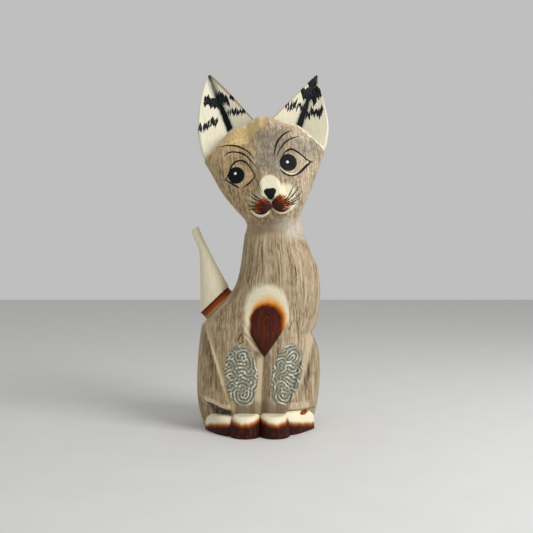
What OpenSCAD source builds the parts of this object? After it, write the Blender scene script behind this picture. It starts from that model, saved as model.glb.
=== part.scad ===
// Seated cat figurine, hand carved from a light plantation wood.
// The torso, head, ears and tail are separate blocks, doweled and glued together.
// Two oval plates of raised scrollwork are let into the front legs.
// Millimetres, +Z up. The cat looks along -Y, so its own left side is +X.
// The origin is the middle of the underside, on the floor.

/* [Torso] */
// Width across the base
base_w = 127; // [110:1:150]
// Depth of the back of the base behind its middle
base_back = 56; // [46:1:66]
// Width across the haunches
haunch_w = 138; // [118:1:164]
// Height of the haunches' widest part
haunch_z = 66; // [54:1:78]
// How far the haunches reach behind the base's middle
haunch_back = 60; // [50:1:70]
// Height of the waist on the cat's left side
waist_z = 106; // [92:1:118]
// How far the waist draws in from the haunch on the cat's left side
waist_pinch = 7; // [2:1:14]
// Height where the cat's right hip starts to slope in
hip_z = 119; // [108:1:130]
// How far the right hip draws in from the haunch where its slope starts
hip_draw = 6; // [2:1:12]
// Height of the shoulders
shoulder_z = 162; // [146:1:178]
// Width across the shoulders
shoulder_w = 94; // [80:1:112]
// How far the shoulders stand to the cat's left of the base's middle
shoulder_x = 22; // [14:1:30]
// How far the chest reaches in front of the base's middle
chest_front = 46; // [38:1:56]
// How far the upper back reaches behind the base's middle
chest_back = 45; // [36:1:54]
// Height of the middle of the neck joint
neck_z = 218; // [192:1:262]
// Width of the neck at the joint
neck_w = 66; // [54:1:80]
// Depth of the neck at the joint
neck_d = 64; // [54:1:78]
// How far the neck stands to the cat's left of the base's middle
neck_x = 18; // [10:1:26]

/* [Front legs and paws] */
// Width of each front leg
leg_w = 38; // [30:1:44]
// Height of the top of the front legs
leg_h = 112; // [94:1:126]
// Depth of the grooves beside the front legs
leg_groove = 4; // [1:0.5:6]
// Place of the cat's right front leg, at the middle of its plate
right_leg_x = -18; // [-24:1:-14]
// Place of the cat's left front leg, at the middle of its plate
left_leg_x = 31; // [26:1:36]
// Lean of the cat's right front leg towards its left, in degrees
right_leg_lean = -3; // [-8:1:4]
// Lean of the cat's left front leg towards its left, in degrees
left_leg_lean = 13; // [4:1:18]
// How far the front of the legs is from the base's middle
leg_front = 45; // [38:1:54]
// Height of the paws
paw_h = 24; // [18:1:30]
// How far the paws reach in front of the legs
paw_reach = 17; // [10:1:24]
// How far the paws round in at their tops
paw_round = 7; // [3:1:10]
// Depth of the notches between the paws
paw_notch = 8; // [2:0.5:10]
// Height of the point of the chest's bib
bib_z = 85; // [76:1:96]
// How far the bib stands proud of the legs
bib_proud = 3; // [1:0.5:5]

/* [Head] */
// Height of the head from the neck joint to the crown
head_h = 128; // [108:1:154]
// Width of the head at the brow
head_w = 136; // [114:1:162]
// Height of the brow's corners above the neck joint
brow_z = 88; // [74:1:104]
// Width of the chin
chin_w = 59; // [50:1:70]
// Height of the chin above the neck joint
chin_z = 12; // [8:1:16]
// Width of the lower cheeks
cheek_w = 86; // [74:1:102]
// Height of the lower cheeks above the neck joint
cheek_z = 35; // [28:1:42]
// Width of the brow's arch below the crown
arch_w = 76; // [60:1:90]
// Drop of that place below the crown
arch_drop = 10; // [7:1:14]
// How far the face reaches in front of the neck's middle
face_front = 44; // [38:1:54]
// How far the brow's corners draw back from the face
brow_set = 4; // [1:1:8]
// How far the forehead draws back at the arch
arch_set = 18; // [10:1:24]
// Thickness of the brow's crest in front of the ears
crest_t = 6; // [4:1:10]
// How far the back of the head reaches behind the neck's middle
head_back = 42; // [36:1:52]
// How far the cheeks of the muzzle stand proud of the face
muzzle_proud = 7; // [3:0.5:10]
// Width of each cheek of the muzzle
muzzle_w = 24; // [18:1:30]
// Height of the muzzle above the neck joint
muzzle_z = 29; // [24:1:36]
// Sideways tilt of the head, in degrees
head_tilt = 6; // [0:1:12]
// Turn of the face to the cat's left, in degrees
head_turn = 3; // [0:1:10]

/* [Ears] */
// Width of the bare crown between the ears
ear_gap = 16; // [10:1:24]
// Length of the cat's right ear from its seat to its tip
right_ear_len = 80; // [66:1:96]
// Slant of the right ear's tip towards the crown
right_ear_slant = 29; // [10:1:36]
// Length of the cat's left ear from its seat to its tip
left_ear_len = 75; // [62:1:92]
// Slant of the left ear's tip towards the crown
left_ear_slant = 15; // [5:1:30]
// Swell of the ear's outer edge
ear_swell = 11; // [4:1:16]
// Thickness of the ear at its seat
ear_t = 26; // [20:1:32]
// Depth of the folded hollow in the ear's face
ear_fold = 11; // [6:1:14]
// Thickness of the ear along its edges
ear_edge = 3; // [2:0.5:5]
// How far the ear's face stands behind the neck's middle
ear_face_y = -5; // [-10:1:4]
// Gap between the brow's shoulder and the ear's face
brow_gap = 3; // [1:0.5:6]

/* [Tail] */
// Length of the tail's foot along the hip
tail_foot_w = 43; // [34:1:52]
// Depth of the tail's foot
tail_foot_d = 35; // [28:1:42]
// Thickness of the tail's tip
tail_tip_d = 9; // [6:1:12]
// Rise of the tail's tip above its seat
tail_rise = 89; // [70:1:108]
// Sideways reach of the tail's tip from its seat
tail_reach = 28; // [16:1:40]
// Backward reach of the tail's tip from its seat
tail_back = 8; // [0:1:20]
// Slope of the tail's seat on the hip, in degrees
tail_slope = 43; // [34:1:52]
// Distance of the tail's seat in from the haunch's side
tail_inset = 23; // [18:1:28]
// Height of the tail's seat above the start of the hip's slope
tail_lift = 17; // [12:1:22]
// Depth of the tail's seat behind the base's middle
tail_y = 12; // [4:1:20]
// Height of the collar under the tail's foot
collar_h = 7; // [4:0.5:10]
// How far the collar is cut in all round
collar_cut = 2.5; // [1:0.5:4]

/* [Dowels] */
// Diameter of the neck dowel
neck_dowel_d = 12; // [8:1:16]
// Length of the neck dowel
neck_dowel_len = 50; // [34:1:62]
// Diameter of the tail dowel
tail_dowel_d = 8; // [6:1:10]
// Length of the tail dowel
tail_dowel_len = 36; // [28:1:44]
// Diameter of the ear dowels
ear_dowel_d = 6; // [4:0.5:8]
// Length of the ear dowels
ear_dowel_len = 24; // [18:1:32]
// Glue clearance round every dowel
dowel_fit = 0.1; // [0.05:0.05:0.3]
// Glue room past each end of a dowel
dowel_end_gap = 0.6; // [0.3:0.1:0.9]
// Chamfer at the ends of the dowels
dowel_chamfer = 1; // [0.5:0.25:1.5]

/* [Scrollwork] */
// Width of an oval plate
plate_w = 34; // [28:1:40]
// Height of an oval plate
plate_h = 64; // [52:1:76]
// Thickness of an oval plate
plate_t = 4; // [3:0.5:6]
// How far the plate's face stands proud of the leg's middle
plate_proud = 1; // [0.5:0.25:2]
// Height of the plate's centre above the floor
plate_z = 66; // [58:1:74]
// Clearance round the plate in its pocket
plate_fit = 0.2; // [0.1:0.1:0.5]
// Width of the raised scroll line
scroll_w = 1.4; // [1:0.1:1.8]
// Height of the raised scroll line
scroll_h = 1.2; // [0.6:0.1:2]
// Least gap between the turns of a scroll
scroll_gap = 0.6; // [0.4:0.1:1]
// Rows of scrolls on a plate
scroll_rows = 4; // [3:1:5]
// Most turns in a scroll
scroll_turns = 1.7; // [1:0.1:2]

/* [Hidden] */
wood = "tan";
white_paint = "ivory";
dowel_wood = "burlywood";
grey_paint = "darkgray";

// Larger than the whole figure, for half-space cuts
beyond = 600;
round_sides = 64;
back_steps = 20;
front_steps = 44;
// Ring angles, closer together on the front than on the back
ring_angles = concat(
    [for (i = [0 : back_steps - 1]) 180 * i / back_steps],
    [for (i = [0 : front_steps - 1]) 180 + 180 * i / front_steps]
);

// Curves

function mix(a, b, t) = a + (b - a) * t;
function ease(t) = t * t * (3 - 2 * t);
function ramp(low, high, v) = ease(min(1, max(0, (v - low) / (high - low))));
function signed_power(v, p) = sign(v) * pow(abs(v), p);
function mean(points) = [for (p = points) 1] * points / len(points);

// A round bump, 1 in the middle and 0 from the given radius on
function bump(distance, radius) = 1 - ramp(0, radius, distance);

// Slope of a profile at a station: level at a peak or a dip, otherwise that of its neighbours
function slope(p, i) =
    let (low = max(0, i - 1), high = min(len(p) - 1, i + 1))
    (p[high][1] - p[i][1]) * (p[i][1] - p[low][1]) < 0 ? 0
    : (p[high][1] - p[low][1]) / (p[high][0] - p[low][0]);

// Value of a profile, a list of [height, value], as a smooth curve through its stations
function along(p, h, i = 0) =
    i < len(p) - 2 && h > p[i + 1][0] ? along(p, h, i + 1)
    : let (
        span = p[i + 1][0] - p[i][0],
        t = min(1, max(0, (h - p[i][0]) / span))
    )
    mix(p[i][1], p[i + 1][1], ease(t))
    + span * t * (1 - t) * (slope(p, i) * (1 - t) - slope(p, i + 1) * t);

// A ring between two sides, a front and a back; each half has its own squareness
function oval_ring(x0, x1, y0, y1, front_square, back_square) =
    let (half_w = (x1 - x0) / 2, half_d = (y1 - y0) / 2)
    [for (t = ring_angles)
        let (p = 2 / (t > 180 ? front_square : back_square))
        [(x0 + x1) / 2 + half_w * signed_power(cos(t), p),
         (y0 + y1) / 2 + half_d * signed_power(sin(t), p)]];

// A closed skin over a stack of rings, capped by fans at both ends
module skin(rings) {
    n = len(rings[0]);
    last = len(rings) - 1;
    points = concat([for (r = rings) each r], [mean(rings[0]), mean(rings[last])]);
    foot = n * (last + 1);
    sides = [for (i = [0 : last - 1], k = [0 : n - 1])
        let (a = i * n + k, d = i * n + (k + 1) % n)
        each [[a, a + n, d + n], [a, d + n, d]]];
    caps = [for (k = [0 : n - 1])
        let (j = (k + 1) % n)
        each [[foot, k, j], [foot + 1, last * n + j, last * n + k]]];
    polyhedron(points, concat(sides, caps));
}

// Torso

paw_front = leg_front + paw_reach;
// Rise of the near-level step on top of the paws
paw_step = 0.5;
// Height of a paw's fullest part, as a share of its own
paw_full = 0.6;
// How far a paw's fullest part is behind its toes
paw_toe = 1;
// How far the neck narrows above its joint, where the slanted cut runs out
neck_taper = 1;
// Room above the neck joint for its slanted cut
neck_spare = neck_w / 2 * tan(head_tilt) + 2;
torso_top = neck_z + neck_spare;

left_flank = [
    [0, base_w / 2],
    [haunch_z, haunch_w / 2],
    [waist_z, haunch_w / 2 - waist_pinch],
    [shoulder_z, shoulder_x + shoulder_w / 2],
    [neck_z, neck_x + neck_w / 2],
    [torso_top, neck_x + neck_w / 2 - neck_taper]
];
right_flank = [
    [0, -base_w / 2],
    [haunch_z, -haunch_w / 2],
    [hip_z, hip_draw - haunch_w / 2],
    [shoulder_z, shoulder_x - shoulder_w / 2],
    [neck_z, neck_x - neck_w / 2],
    [torso_top, neck_x - neck_w / 2 + neck_taper]
];
torso_front = [
    [0, -paw_front],
    [paw_h * paw_full, -paw_front + paw_toe],
    [paw_h, -paw_front + paw_round],
    [paw_h + paw_step, -leg_front],
    [leg_h, -chest_front],
    [neck_z, -neck_d / 2],
    [torso_top, -neck_d / 2 + neck_taper]
];
torso_back = [
    [0, base_back],
    [haunch_z, haunch_back],
    [shoulder_z, chest_back],
    [neck_z, neck_d / 2],
    [torso_top, neck_d / 2 - neck_taper]
];
// Squareness of the rings: 2 is an ellipse, and a larger number has fuller corners
paw_square = 1.8;
leg_square = 2.5;
round_square = 2.15;
front_squareness = [
    [0, paw_square],
    [paw_h, paw_square],
    [paw_h + paw_step, leg_square],
    [waist_z, leg_square],
    [neck_z, round_square]
];

// Middle of a front leg at a height; side is 1 for the cat's left and -1 for its right
function leg_x(side, z) =
    side > 0 ? left_leg_x + (z - plate_z) * tan(left_leg_lean)
    : right_leg_x + (z - plate_z) * tan(right_leg_lean);
// Middle of the gap between the front legs
function leg_mid_x(z) = (leg_x(-1, z) + leg_x(1, z)) / 2;
// Reach of the front paws past the middles of their legs
right_paw_reach = leg_w * 0.4;
left_paw_reach = leg_w * 0.3;
// Edges of the four paws, from the cat's right to its left
paw_edges = [
    -base_w / 2,
    leg_x(-1, paw_h) - right_paw_reach,
    leg_mid_x(paw_h),
    leg_x(1, paw_h) + left_paw_reach,
    base_w / 2
];
// Share of a paw's roundness that is cut behind its front line
paw_inset = 0.6;

// How far a paw's rounded front stands out of its notches at x
function paw_lobe(x, i = 0) =
    i == 3 || x < paw_edges[i + 1]
    ? let (u = (2 * x - paw_edges[i] - paw_edges[i + 1]) / (paw_edges[i + 1] - paw_edges[i]))
        1 - min(1, u * u)
    : paw_lobe(x, i + 1);

// Edge of the haunch beside a front leg: it slants out from the paws to the hip
haunch_foot_x = base_w * 0.2;
haunch_hip_x = haunch_w * 0.43;
function haunch_edge(side, z) = side * mix(haunch_foot_x, haunch_hip_x, z / hip_z);

// Grooves in the middle of the front and along both haunches, fading out at the legs' tops
groove_half = leg_w * 0.22;
groove_fade_z = leg_h * 0.7;
function leg_grooves(x, z) =
    (1 - ramp(groove_fade_z, leg_h, z)) * leg_groove
    * max([for (middle = [leg_mid_x(z), haunch_edge(1, z), haunch_edge(-1, z)])
        bump(abs(x - middle), groove_half)]);

// Undercut above each hind paw, below the edge of the thigh
carve_soft = 6;
hock_low = paw_h * 1.15;
hock_high = paw_h * 1.45;
function hock_undercut(x, z) =
    (1 - ramp(hock_low, hock_high, z)) * leg_groove
    * max(ramp(0, carve_soft, x - haunch_edge(1, z)), ramp(0, carve_soft, haunch_edge(-1, z) - x));

// The chest's bib comes down to a point between the legs and fades into the chest
function bib(x, z) =
    bib_proud * ramp(0, carve_soft, z - bib_z - abs(x - leg_mid_x(bib_z)))
    * (1 - ramp(leg_h, shoulder_z, z));

// Carving on the torso's front: paws below the step, legs and chest above it
function front_carving(x, z) =
    z <= paw_h ? paw_notch * (paw_lobe(x) - paw_inset) * ramp(-paw_h / 2, paw_h / 2, z)
    : bib(x, z) - leg_grooves(x, z) - hock_undercut(x, z);

function torso_ring(z) =
    [for (p = oval_ring(
            along(right_flank, z), along(left_flank, z),
            along(torso_front, z), along(torso_back, z),
            along(front_squareness, z), round_square))
        let (front = (along(torso_front, z) + along(torso_back, z)) / 2 - p[1])
        [p[0], p[1] - front_carving(p[0], z) * ramp(0, leg_front / 2, front), z]];

// Front of the torso at a place on it
function torso_face(x, z) =
    let (
        x0 = along(right_flank, z), x1 = along(left_flank, z),
        y0 = along(torso_front, z), y1 = along(torso_back, z),
        m = along(front_squareness, z),
        u = abs(2 * x - x0 - x1) / (x1 - x0)
    )
    (y0 + y1) / 2 - (y1 - y0) / 2 * pow(1 - pow(u, m), 1 / m) - front_carving(x, z);

paw_levels = 6;
torso_steps = 30;
torso_levels = concat(
    [for (i = [0 : paw_levels]) paw_h * sin(90 * i / paw_levels)],
    [for (i = [0 : torso_steps]) mix(paw_h + paw_step, torso_top, i / torso_steps)]
);

module torso() {
    color(wood) difference() {
        skin([for (z = torso_levels) torso_ring(z)]);
        on_neck() translate([0, 0, beyond / 2]) cube(beyond, center = true);
        on_neck() dowel_bore(neck_dowel_d, neck_dowel_len);
        on_hip() cylinder(r = tail_seat_r, h = tail_foot_w, $fn = round_sides);
        on_hip() dowel_bore(tail_dowel_d, tail_dowel_len);
        for (side = [-1, 1]) on_leg(side) plate_pocket();
    }
}

// Head, in the frame of the neck joint

module on_neck() {
    translate([neck_x, 0, neck_z]) rotate([0, -head_tilt, 0]) children();
}

module on_head() {
    on_neck() rotate([0, 0, head_turn]) children();
}

arch_z = head_h - arch_drop;
head_side = [
    [0, neck_w / 2],
    [chin_z, chin_w / 2],
    [cheek_z, cheek_w / 2],
    [brow_z, head_w / 2],
    [arch_z, arch_w / 2],
    [head_h, ear_gap / 2]
];
// How far the chin and the muzzle stand out of the neck and the face
chin_out = 2;
muzzle_out = 2;
head_front = [
    [0, -neck_d / 2],
    [chin_z / 2, -neck_d / 2 - chin_out],
    [(chin_z + muzzle_z) / 2, -face_front],
    [muzzle_z, -face_front - muzzle_out],
    [(muzzle_z + brow_z) / 2, -face_front],
    [brow_z, -face_front + brow_set],
    [arch_z, -face_front + arch_set],
    [head_h, ear_face_y - brow_gap - crest_t]
];
head_rear = [
    [0, neck_d / 2],
    [chin_z, neck_d / 2],
    [(cheek_z + brow_z) / 2, head_back],
    [brow_z, head_back],
    [head_h, ear_face_y + ear_t]
];
face_squareness = [[0, round_square], [chin_z, round_square], [brow_z, leg_square], [head_h, round_square]];

// Carving on the face: two round cheeks under a small nose
cheek_x = muzzle_w * 0.4;
cheek_r = muzzle_w * 0.75;
nose_r = muzzle_w * 0.5;
nose_z = muzzle_z + cheek_x;
function face_carving(x, z) =
    muzzle_proud * max([for (side = [-1, 1]) bump(norm([x - side * cheek_x, z - muzzle_z]), cheek_r)])
    + muzzle_proud / 2 * bump(norm([x, z - nose_z]), nose_r);

function head_ring(z) =
    [for (p = oval_ring(
            -along(head_side, z), along(head_side, z),
            along(head_front, z), along(head_rear, z),
            along(face_squareness, z), round_square))
        let (front = (along(head_front, z) + along(head_rear, z)) / 2 - p[1])
        [p[0], p[1] - face_carving(p[0], z) * ramp(0, face_front / 2, front), z]];

head_steps = 36;
head_levels = [for (i = [0 : head_steps]) head_h * i / head_steps];

module head() {
    color(wood) difference() {
        on_head() skin([for (z = head_levels) head_ring(z)]);
        on_neck() dowel_bore(neck_dowel_d, neck_dowel_len);
        for (side = [-1, 1]) on_ear(side) {
            translate([-beyond / 2, ear_face_y - brow_gap, 0]) cube(beyond);
            translate([0, ear_dowel_y, 0]) dowel_bore(ear_dowel_d, ear_dowel_len);
        }
    }
}

// Ears, each on a flat seat behind the brow

// The seat runs from just below the crown down to just inside the brow's corner
ear_drop = 3;
ear_inset = 2;
ear_inner = [ear_gap / 2, head_h - ear_drop];
ear_outer = [head_w / 2 - ear_inset, brow_z];
ear_seat_w = norm(ear_outer - ear_inner);
ear_seat_mid = (ear_inner + ear_outer) / 2;
ear_seat_slope = atan2(ear_inner[1] - ear_outer[1], ear_outer[0] - ear_inner[0]);
// The dowel is in the thick of the ear, behind its fold
ear_dowel_y = ear_face_y + (ear_fold + ear_t + ear_edge) / 2;
ear_steps = 10;
ear_across = 10;
// Share of the ear's length at which its tip is blunted, and of its fold and edge that is left there
ear_blunt = 0.97;
ear_tip_fold = 0.12;
ear_tip_edge = 0.5;
// Power of the sine that domes the ear's rear
ear_dome = 0.7;

// Seat frame of an ear: X along the seat and outwards, Z away from the head. The right side is mirrored.
module on_ear(side) {
    on_head() mirror([side < 0 ? 1 : 0, 0, 0])
        translate([ear_seat_mid[0], 0, ear_seat_mid[1]]) rotate([0, ear_seat_slope, 0]) children();
}

// One ring of an ear at share t of its length: across the folded face and back over the domed rear
function ear_ring(len, slant, t) =
    let (
        tip = [-slant, len],
        foot = [ear_seat_w / 2, 0],
        swell_way = [tip[1] - foot[1], foot[0] - tip[0]] / norm(tip - foot),
        inner = mix([-foot[0], 0], tip, t),
        outer = mix(foot, tip, t) + swell_way * ear_swell * 4 * t * (1 - t),
        taper = mix(1, ear_tip_fold, t),
        edge = ear_edge * mix(1, ear_tip_edge, t)
    )
    concat(
        [for (k = [0 : ear_across])
            let (v = k / ear_across, p = mix(inner, outer, v))
            [p[0], ear_face_y + ear_fold * taper * (1 - abs(2 * v - 1)), p[1]]],
        [for (k = [0 : ear_across])
            let (v = 1 - k / ear_across, p = mix(inner, outer, v))
            [p[0], ear_face_y + edge + ear_t * taper * pow(sin(180 * v), ear_dome), p[1]]]
    );

module ear(side, len, slant) {
    color(white_paint) on_ear(side) difference() {
        skin([for (i = [0 : ear_steps]) ear_ring(len, slant, ear_blunt * i / ear_steps)]);
        translate([0, ear_dowel_y, 0]) dowel_bore(ear_dowel_d, ear_dowel_len);
    }
}

module left_ear() {
    ear(1, left_ear_len, left_ear_slant);
}

module right_ear() {
    ear(-1, right_ear_len, right_ear_slant);
}

// Tail, on a round flat seat cut into the cat's right hip

tail_seat = [tail_inset - haunch_w / 2, tail_y, hip_z + tail_lift];
// The seat is a little wider than the tail's foot
tail_seat_r = tail_foot_w / 2 + 2;
// Share of the rise over which the tail goes straight up before it curls out
tail_pull = 0.42;
// How much sooner than the tip the tail's rings come level
tail_level = 1.6;
// Rise of the sharp rim over the collar
tail_rim = 0.2;
tail_sides = 24;
tail_steps = 16;

// Seat frame of the tail: X up along the hip's slope, Z away from the hip
module on_hip() {
    translate(tail_seat) rotate([0, -tail_slope, 0]) children();
}

// Middle of the tail at share t of its length, in the seat frame
function tail_middle(t) =
    let (
        c = cos(tail_slope), s = sin(tail_slope),
        end = [tail_rise * s - tail_reach * c, tail_back, tail_rise * c + tail_reach * s],
        pull = [0, 0, collar_h] + tail_rise * tail_pull * [s, 0, c],
        start = [0, 0, collar_h]
    )
    start * (1 - t) * (1 - t) + pull * 2 * t * (1 - t) + end * t * t;

// One ring of the tail: its plane turns from the seat's to level, and it tapers to the tip
function tail_ring(middle, w, d, turn) =
    [for (k = [0 : tail_sides - 1])
        let (a = 360 * k / tail_sides)
        middle + [w / 2 * cos(a) * cos(turn), d / 2 * sin(a), -w / 2 * cos(a) * sin(turn)]];

module tail() {
    collar_w = tail_foot_w - 2 * collar_cut;
    collar_d = tail_foot_d - 2 * collar_cut;
    rings = concat(
        [for (z = [0, collar_h]) tail_ring([0, 0, z], collar_w, collar_d, 0)],
        [for (i = [0 : tail_steps])
            let (t = i / tail_steps, share = (1 - t) * (1 - t))
            tail_ring(
                tail_middle(t) + [0, 0, tail_rim],
                mix(tail_tip_d, tail_foot_w, share),
                mix(tail_tip_d, tail_foot_d, share),
                tail_slope * ease(min(1, tail_level * t)))]
    );
    color(white_paint) on_hip() difference() {
        skin(rings);
        dowel_bore(tail_dowel_d, tail_dowel_len);
    }
}

// Dowels, each with half of its length on either side of its joint

module dowel(d, len) {
    r = d / 2;
    c = dowel_chamfer;
    translate([0, 0, -len / 2]) rotate_extrude($fn = round_sides)
        polygon([[0, 0], [r - c, 0], [r, c], [r, len - c], [r - c, len], [0, len]]);
}

module dowel_bore(d, len) {
    cylinder(d = d + 2 * dowel_fit, h = len + 2 * dowel_end_gap, center = true, $fn = round_sides);
}

module neck_dowel() {
    color(dowel_wood) on_neck() dowel(neck_dowel_d, neck_dowel_len);
}

module tail_dowel() {
    color(dowel_wood) on_hip() dowel(tail_dowel_d, tail_dowel_len);
}

module ear_dowel(side) {
    color(dowel_wood) on_ear(side) translate([0, ear_dowel_y, 0]) dowel(ear_dowel_d, ear_dowel_len);
}

module left_ear_dowel() {
    ear_dowel(1);
}

module right_ear_dowel() {
    ear_dowel(-1);
}

// Scrollwork plates, each in a flat oval pocket that follows the slope of its leg

oval_sides = 48;
scroll_steps = 36;
// Radius of a scroll's eye
scroll_eye = scroll_w * 0.9;
// Bare share of a row at each end of the plate
row_spare = 0.3;
// Share of a row, past its middle, at which its scrolls must still lie inside the oval
row_reach = 0.35;

function oval(w, h) = [for (k = [0 : oval_sides - 1])
    let (a = 360 * k / oval_sides) [w / 2 * cos(a), h / 2 * sin(a)]];

// Frame on a leg's front: X across it, Y up it, Z out of it, with the leg's face at Z 0
module on_leg(side) {
    x = leg_x(side, plate_z);
    lean = side > 0 ? left_leg_lean : right_leg_lean;
    reach = plate_w / 3;
    turn = atan2(torso_face(x + reach, plate_z) - torso_face(x - reach, plate_z), 2 * reach);
    translate([x, torso_face(x, plate_z), plate_z])
        rotate([0, 0, turn]) rotate([90, 0, 0]) rotate(-lean) children();
}

module plate_pocket() {
    translate([0, 0, plate_proud - plate_t]) linear_extrude(plate_t + paw_reach)
        polygon(oval(plate_w + 2 * plate_fit, plate_h + 2 * plate_fit));
}

// One flat scroll line that winds into its eye
module scroll(r, hand) {
    turns = min(scroll_turns, (r - scroll_eye) / (scroll_w + scroll_gap));
    spiral = [for (i = [0 : scroll_steps])
        let (t = i / scroll_steps) [mix(r, scroll_eye, t), hand * 360 * turns * t]];
    linear_extrude(scroll_h) polygon(concat(
        [for (p = spiral) (p[0] + scroll_w / 2) * [cos(p[1]), sin(p[1])]],
        [for (i = [scroll_steps : -1 : 0])
            let (p = spiral[i]) (p[0] - scroll_w / 2) * [cos(p[1]), sin(p[1])]]));
}

module scrollwork_plate() {
    translate([0, 0, plate_proud - plate_t]) linear_extrude(plate_t) polygon(oval(plate_w, plate_h));
    pitch = plate_h / (scroll_rows + 2 * row_spare);
    for (row = [0 : scroll_rows - 1]) {
        y = (row - (scroll_rows - 1) / 2) * pitch;
        half = plate_w / 2 * sqrt(1 - pow(2 * (abs(y) + pitch * row_reach) / plate_h, 2));
        r = min(pitch / 2, half / 2) - scroll_w;
        for (side = [-1, 1]) translate([side * (r + scroll_w), y, plate_proud])
            rotate(side * 90 + 180 * (row % 2)) scroll(r, side);
    }
}

module left_leg_scrollwork() {
    color(grey_paint) on_leg(1) scrollwork_plate();
}

module right_leg_scrollwork() {
    color(grey_paint) on_leg(-1) scrollwork_plate();
}

torso();
head();
left_ear();
right_ear();
tail();
neck_dowel();
tail_dowel();
left_ear_dowel();
right_ear_dowel();
left_leg_scrollwork();
right_leg_scrollwork();
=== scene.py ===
import math

import bpy
import numpy as np
from mathutils import Matrix, Vector
from mathutils.bvhtree import BVHTree


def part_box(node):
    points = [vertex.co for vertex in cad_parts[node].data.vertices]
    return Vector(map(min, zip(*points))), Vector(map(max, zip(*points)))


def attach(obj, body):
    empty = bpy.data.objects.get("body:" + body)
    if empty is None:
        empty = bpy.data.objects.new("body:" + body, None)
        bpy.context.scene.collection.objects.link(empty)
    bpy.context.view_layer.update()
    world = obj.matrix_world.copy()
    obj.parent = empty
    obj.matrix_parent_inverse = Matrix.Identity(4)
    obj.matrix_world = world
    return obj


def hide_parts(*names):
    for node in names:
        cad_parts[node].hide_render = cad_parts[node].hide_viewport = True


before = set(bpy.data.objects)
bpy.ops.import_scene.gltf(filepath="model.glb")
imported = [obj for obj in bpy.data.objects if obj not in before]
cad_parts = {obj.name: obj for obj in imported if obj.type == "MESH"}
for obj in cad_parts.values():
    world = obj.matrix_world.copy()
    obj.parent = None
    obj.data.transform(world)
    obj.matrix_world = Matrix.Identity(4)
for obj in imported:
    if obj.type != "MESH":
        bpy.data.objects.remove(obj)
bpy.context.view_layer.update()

# Torso
# One block of light plantation wood, from the paws to the neck. Haunches, front legs and the
# chest's pointed bib are cut into its front with gouges and knives, then sanded and lime-washed.
MM = 0.001
# Height, right side, left side, front and back of the block, in millimetres
TORSO_STATIONS = [
    (0, -60.5, 60, -40, 55),
    (10, -64, 62.5, -42, 57),
    (28, -68, 67, -44, 59),
    (52, -69.2, 69.5, -45, 60),
    (72, -68.5, 69.5, -45.5, 59.5),
    (92, -66.8, 67.2, -46, 58),
    (102, -65.5, 63.5, -46, 57),
    (106, -65, 61.8, -46.5, 56.5),
    (111, -64.3, 63.2, -46.5, 56),
    (116, -62.8, 65.2, -47, 55.5),
    (120, -58, 66.2, -47, 55),
    (128, -50, 67.8, -47, 54),
    (138, -41.4, 69, -47, 52.5),
    (148, -32.8, 69.6, -47, 50.5),
    (158, -26, 69.6, -46.5, 48),
    (170, -22, 68.4, -45, 44.5),
    (182, -19.6, 66, -42.5, 41),
    (191, -18.3, 62, -40.5, 38),
    (205, -16.6, 56, -36, 34.5),
    (212, -15.6, 53.5, -34.4, 33),
    (218, -14.8, 51, -33.6, 32),
    (230, -13, 47.5, -33.2, 30),
]
TORSO_STEP = 4
TORSO_SQUARE = (2.5, 2.15)
TORSO_VOXEL = 1.25
RING_POINTS = 96


def smooth(low, high, value):
    """0 below low and 1 above high, with an eased rise between them."""
    t = np.clip((value - low) / (high - low), 0, 1)
    return t * t * (3 - 2 * t)


def flow(stations, step):
    """Stations in between the given ones, on smooth curves, about one step of height apart."""
    rows = np.array(stations, float)
    heights = rows[:, 0]
    slopes = np.gradient(rows, heights, axis=0)
    count = int(round((heights[-1] - heights[0]) / step))
    dense = []
    for h in np.linspace(heights[0], heights[-1], count + 1):
        i = int(np.clip(np.searchsorted(heights, h, side="right") - 1, 0, len(rows) - 2))
        span = heights[i + 1] - heights[i]
        t = (h - heights[i]) / span
        ease = t * t * (3 - 2 * t)
        bend = span * t * (1 - t) * (slopes[i] * (1 - t) - slopes[i + 1] * t)
        dense.append(rows[i] + (rows[i + 1] - rows[i]) * ease + bend)
    return dense


def oval(front_square, back_square):
    """A unit ring: 2 is a circle, and a larger squareness has fuller corners."""
    ring = []
    for k in range(RING_POINTS):
        a = 2 * math.pi * k / RING_POINTS
        power = 2 / (front_square if math.sin(a) < 0 else back_square)
        ring.append([math.copysign(abs(v) ** power, v) for v in (math.cos(a), math.sin(a))])
    return ring


def add(primitive, name, **settings):
    """Add one of Blender's own shapes under a name."""
    bpy.ops.object.select_all(action="DESELECT")
    primitive(**settings)
    piece = bpy.context.object
    piece.name = name
    return piece


def loft(name, ring, stations):
    """Extrude a ring up through stations of height, low x, high x, low y and high y."""
    middles = [Vector(((x0 + x1) / 2, (y0 + y1) / 2, z)) * MM for z, x0, x1, y0, y1 in stations]
    halves = [Vector((x1 - x0, y1 - y0, 0)) * MM / 2 for _, x0, x1, y0, y1 in stations]
    piece = add(bpy.ops.mesh.primitive_circle_add, name, vertices=len(ring), fill_type="NGON")
    for vertex, (u, v) in zip(piece.data.vertices, ring):
        vertex.co = middles[0] + Vector((halves[0].x * u, halves[0].y * v, 0))
    bpy.ops.object.mode_set(mode="EDIT")
    bpy.ops.mesh.select_all(action="SELECT")
    for below, middle, below_half, half in zip(middles, middles[1:], halves, halves[1:]):
        bpy.ops.mesh.extrude_region_move(TRANSFORM_OT_translate={"value": middle - below})
        grow = (half.x / below_half.x, half.y / below_half.y, 1)
        bpy.ops.transform.resize(value=grow, center_override=middle)
    bpy.ops.mesh.select_all(action="SELECT")
    bpy.ops.mesh.normals_make_consistent(inside=False)
    bpy.ops.object.mode_set(mode="OBJECT")
    return piece


def pick(piece):
    """Make a piece the only selected one, and the active one."""
    bpy.ops.object.select_all(action="DESELECT")
    piece.select_set(True)
    bpy.context.view_layer.objects.active = piece


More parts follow.
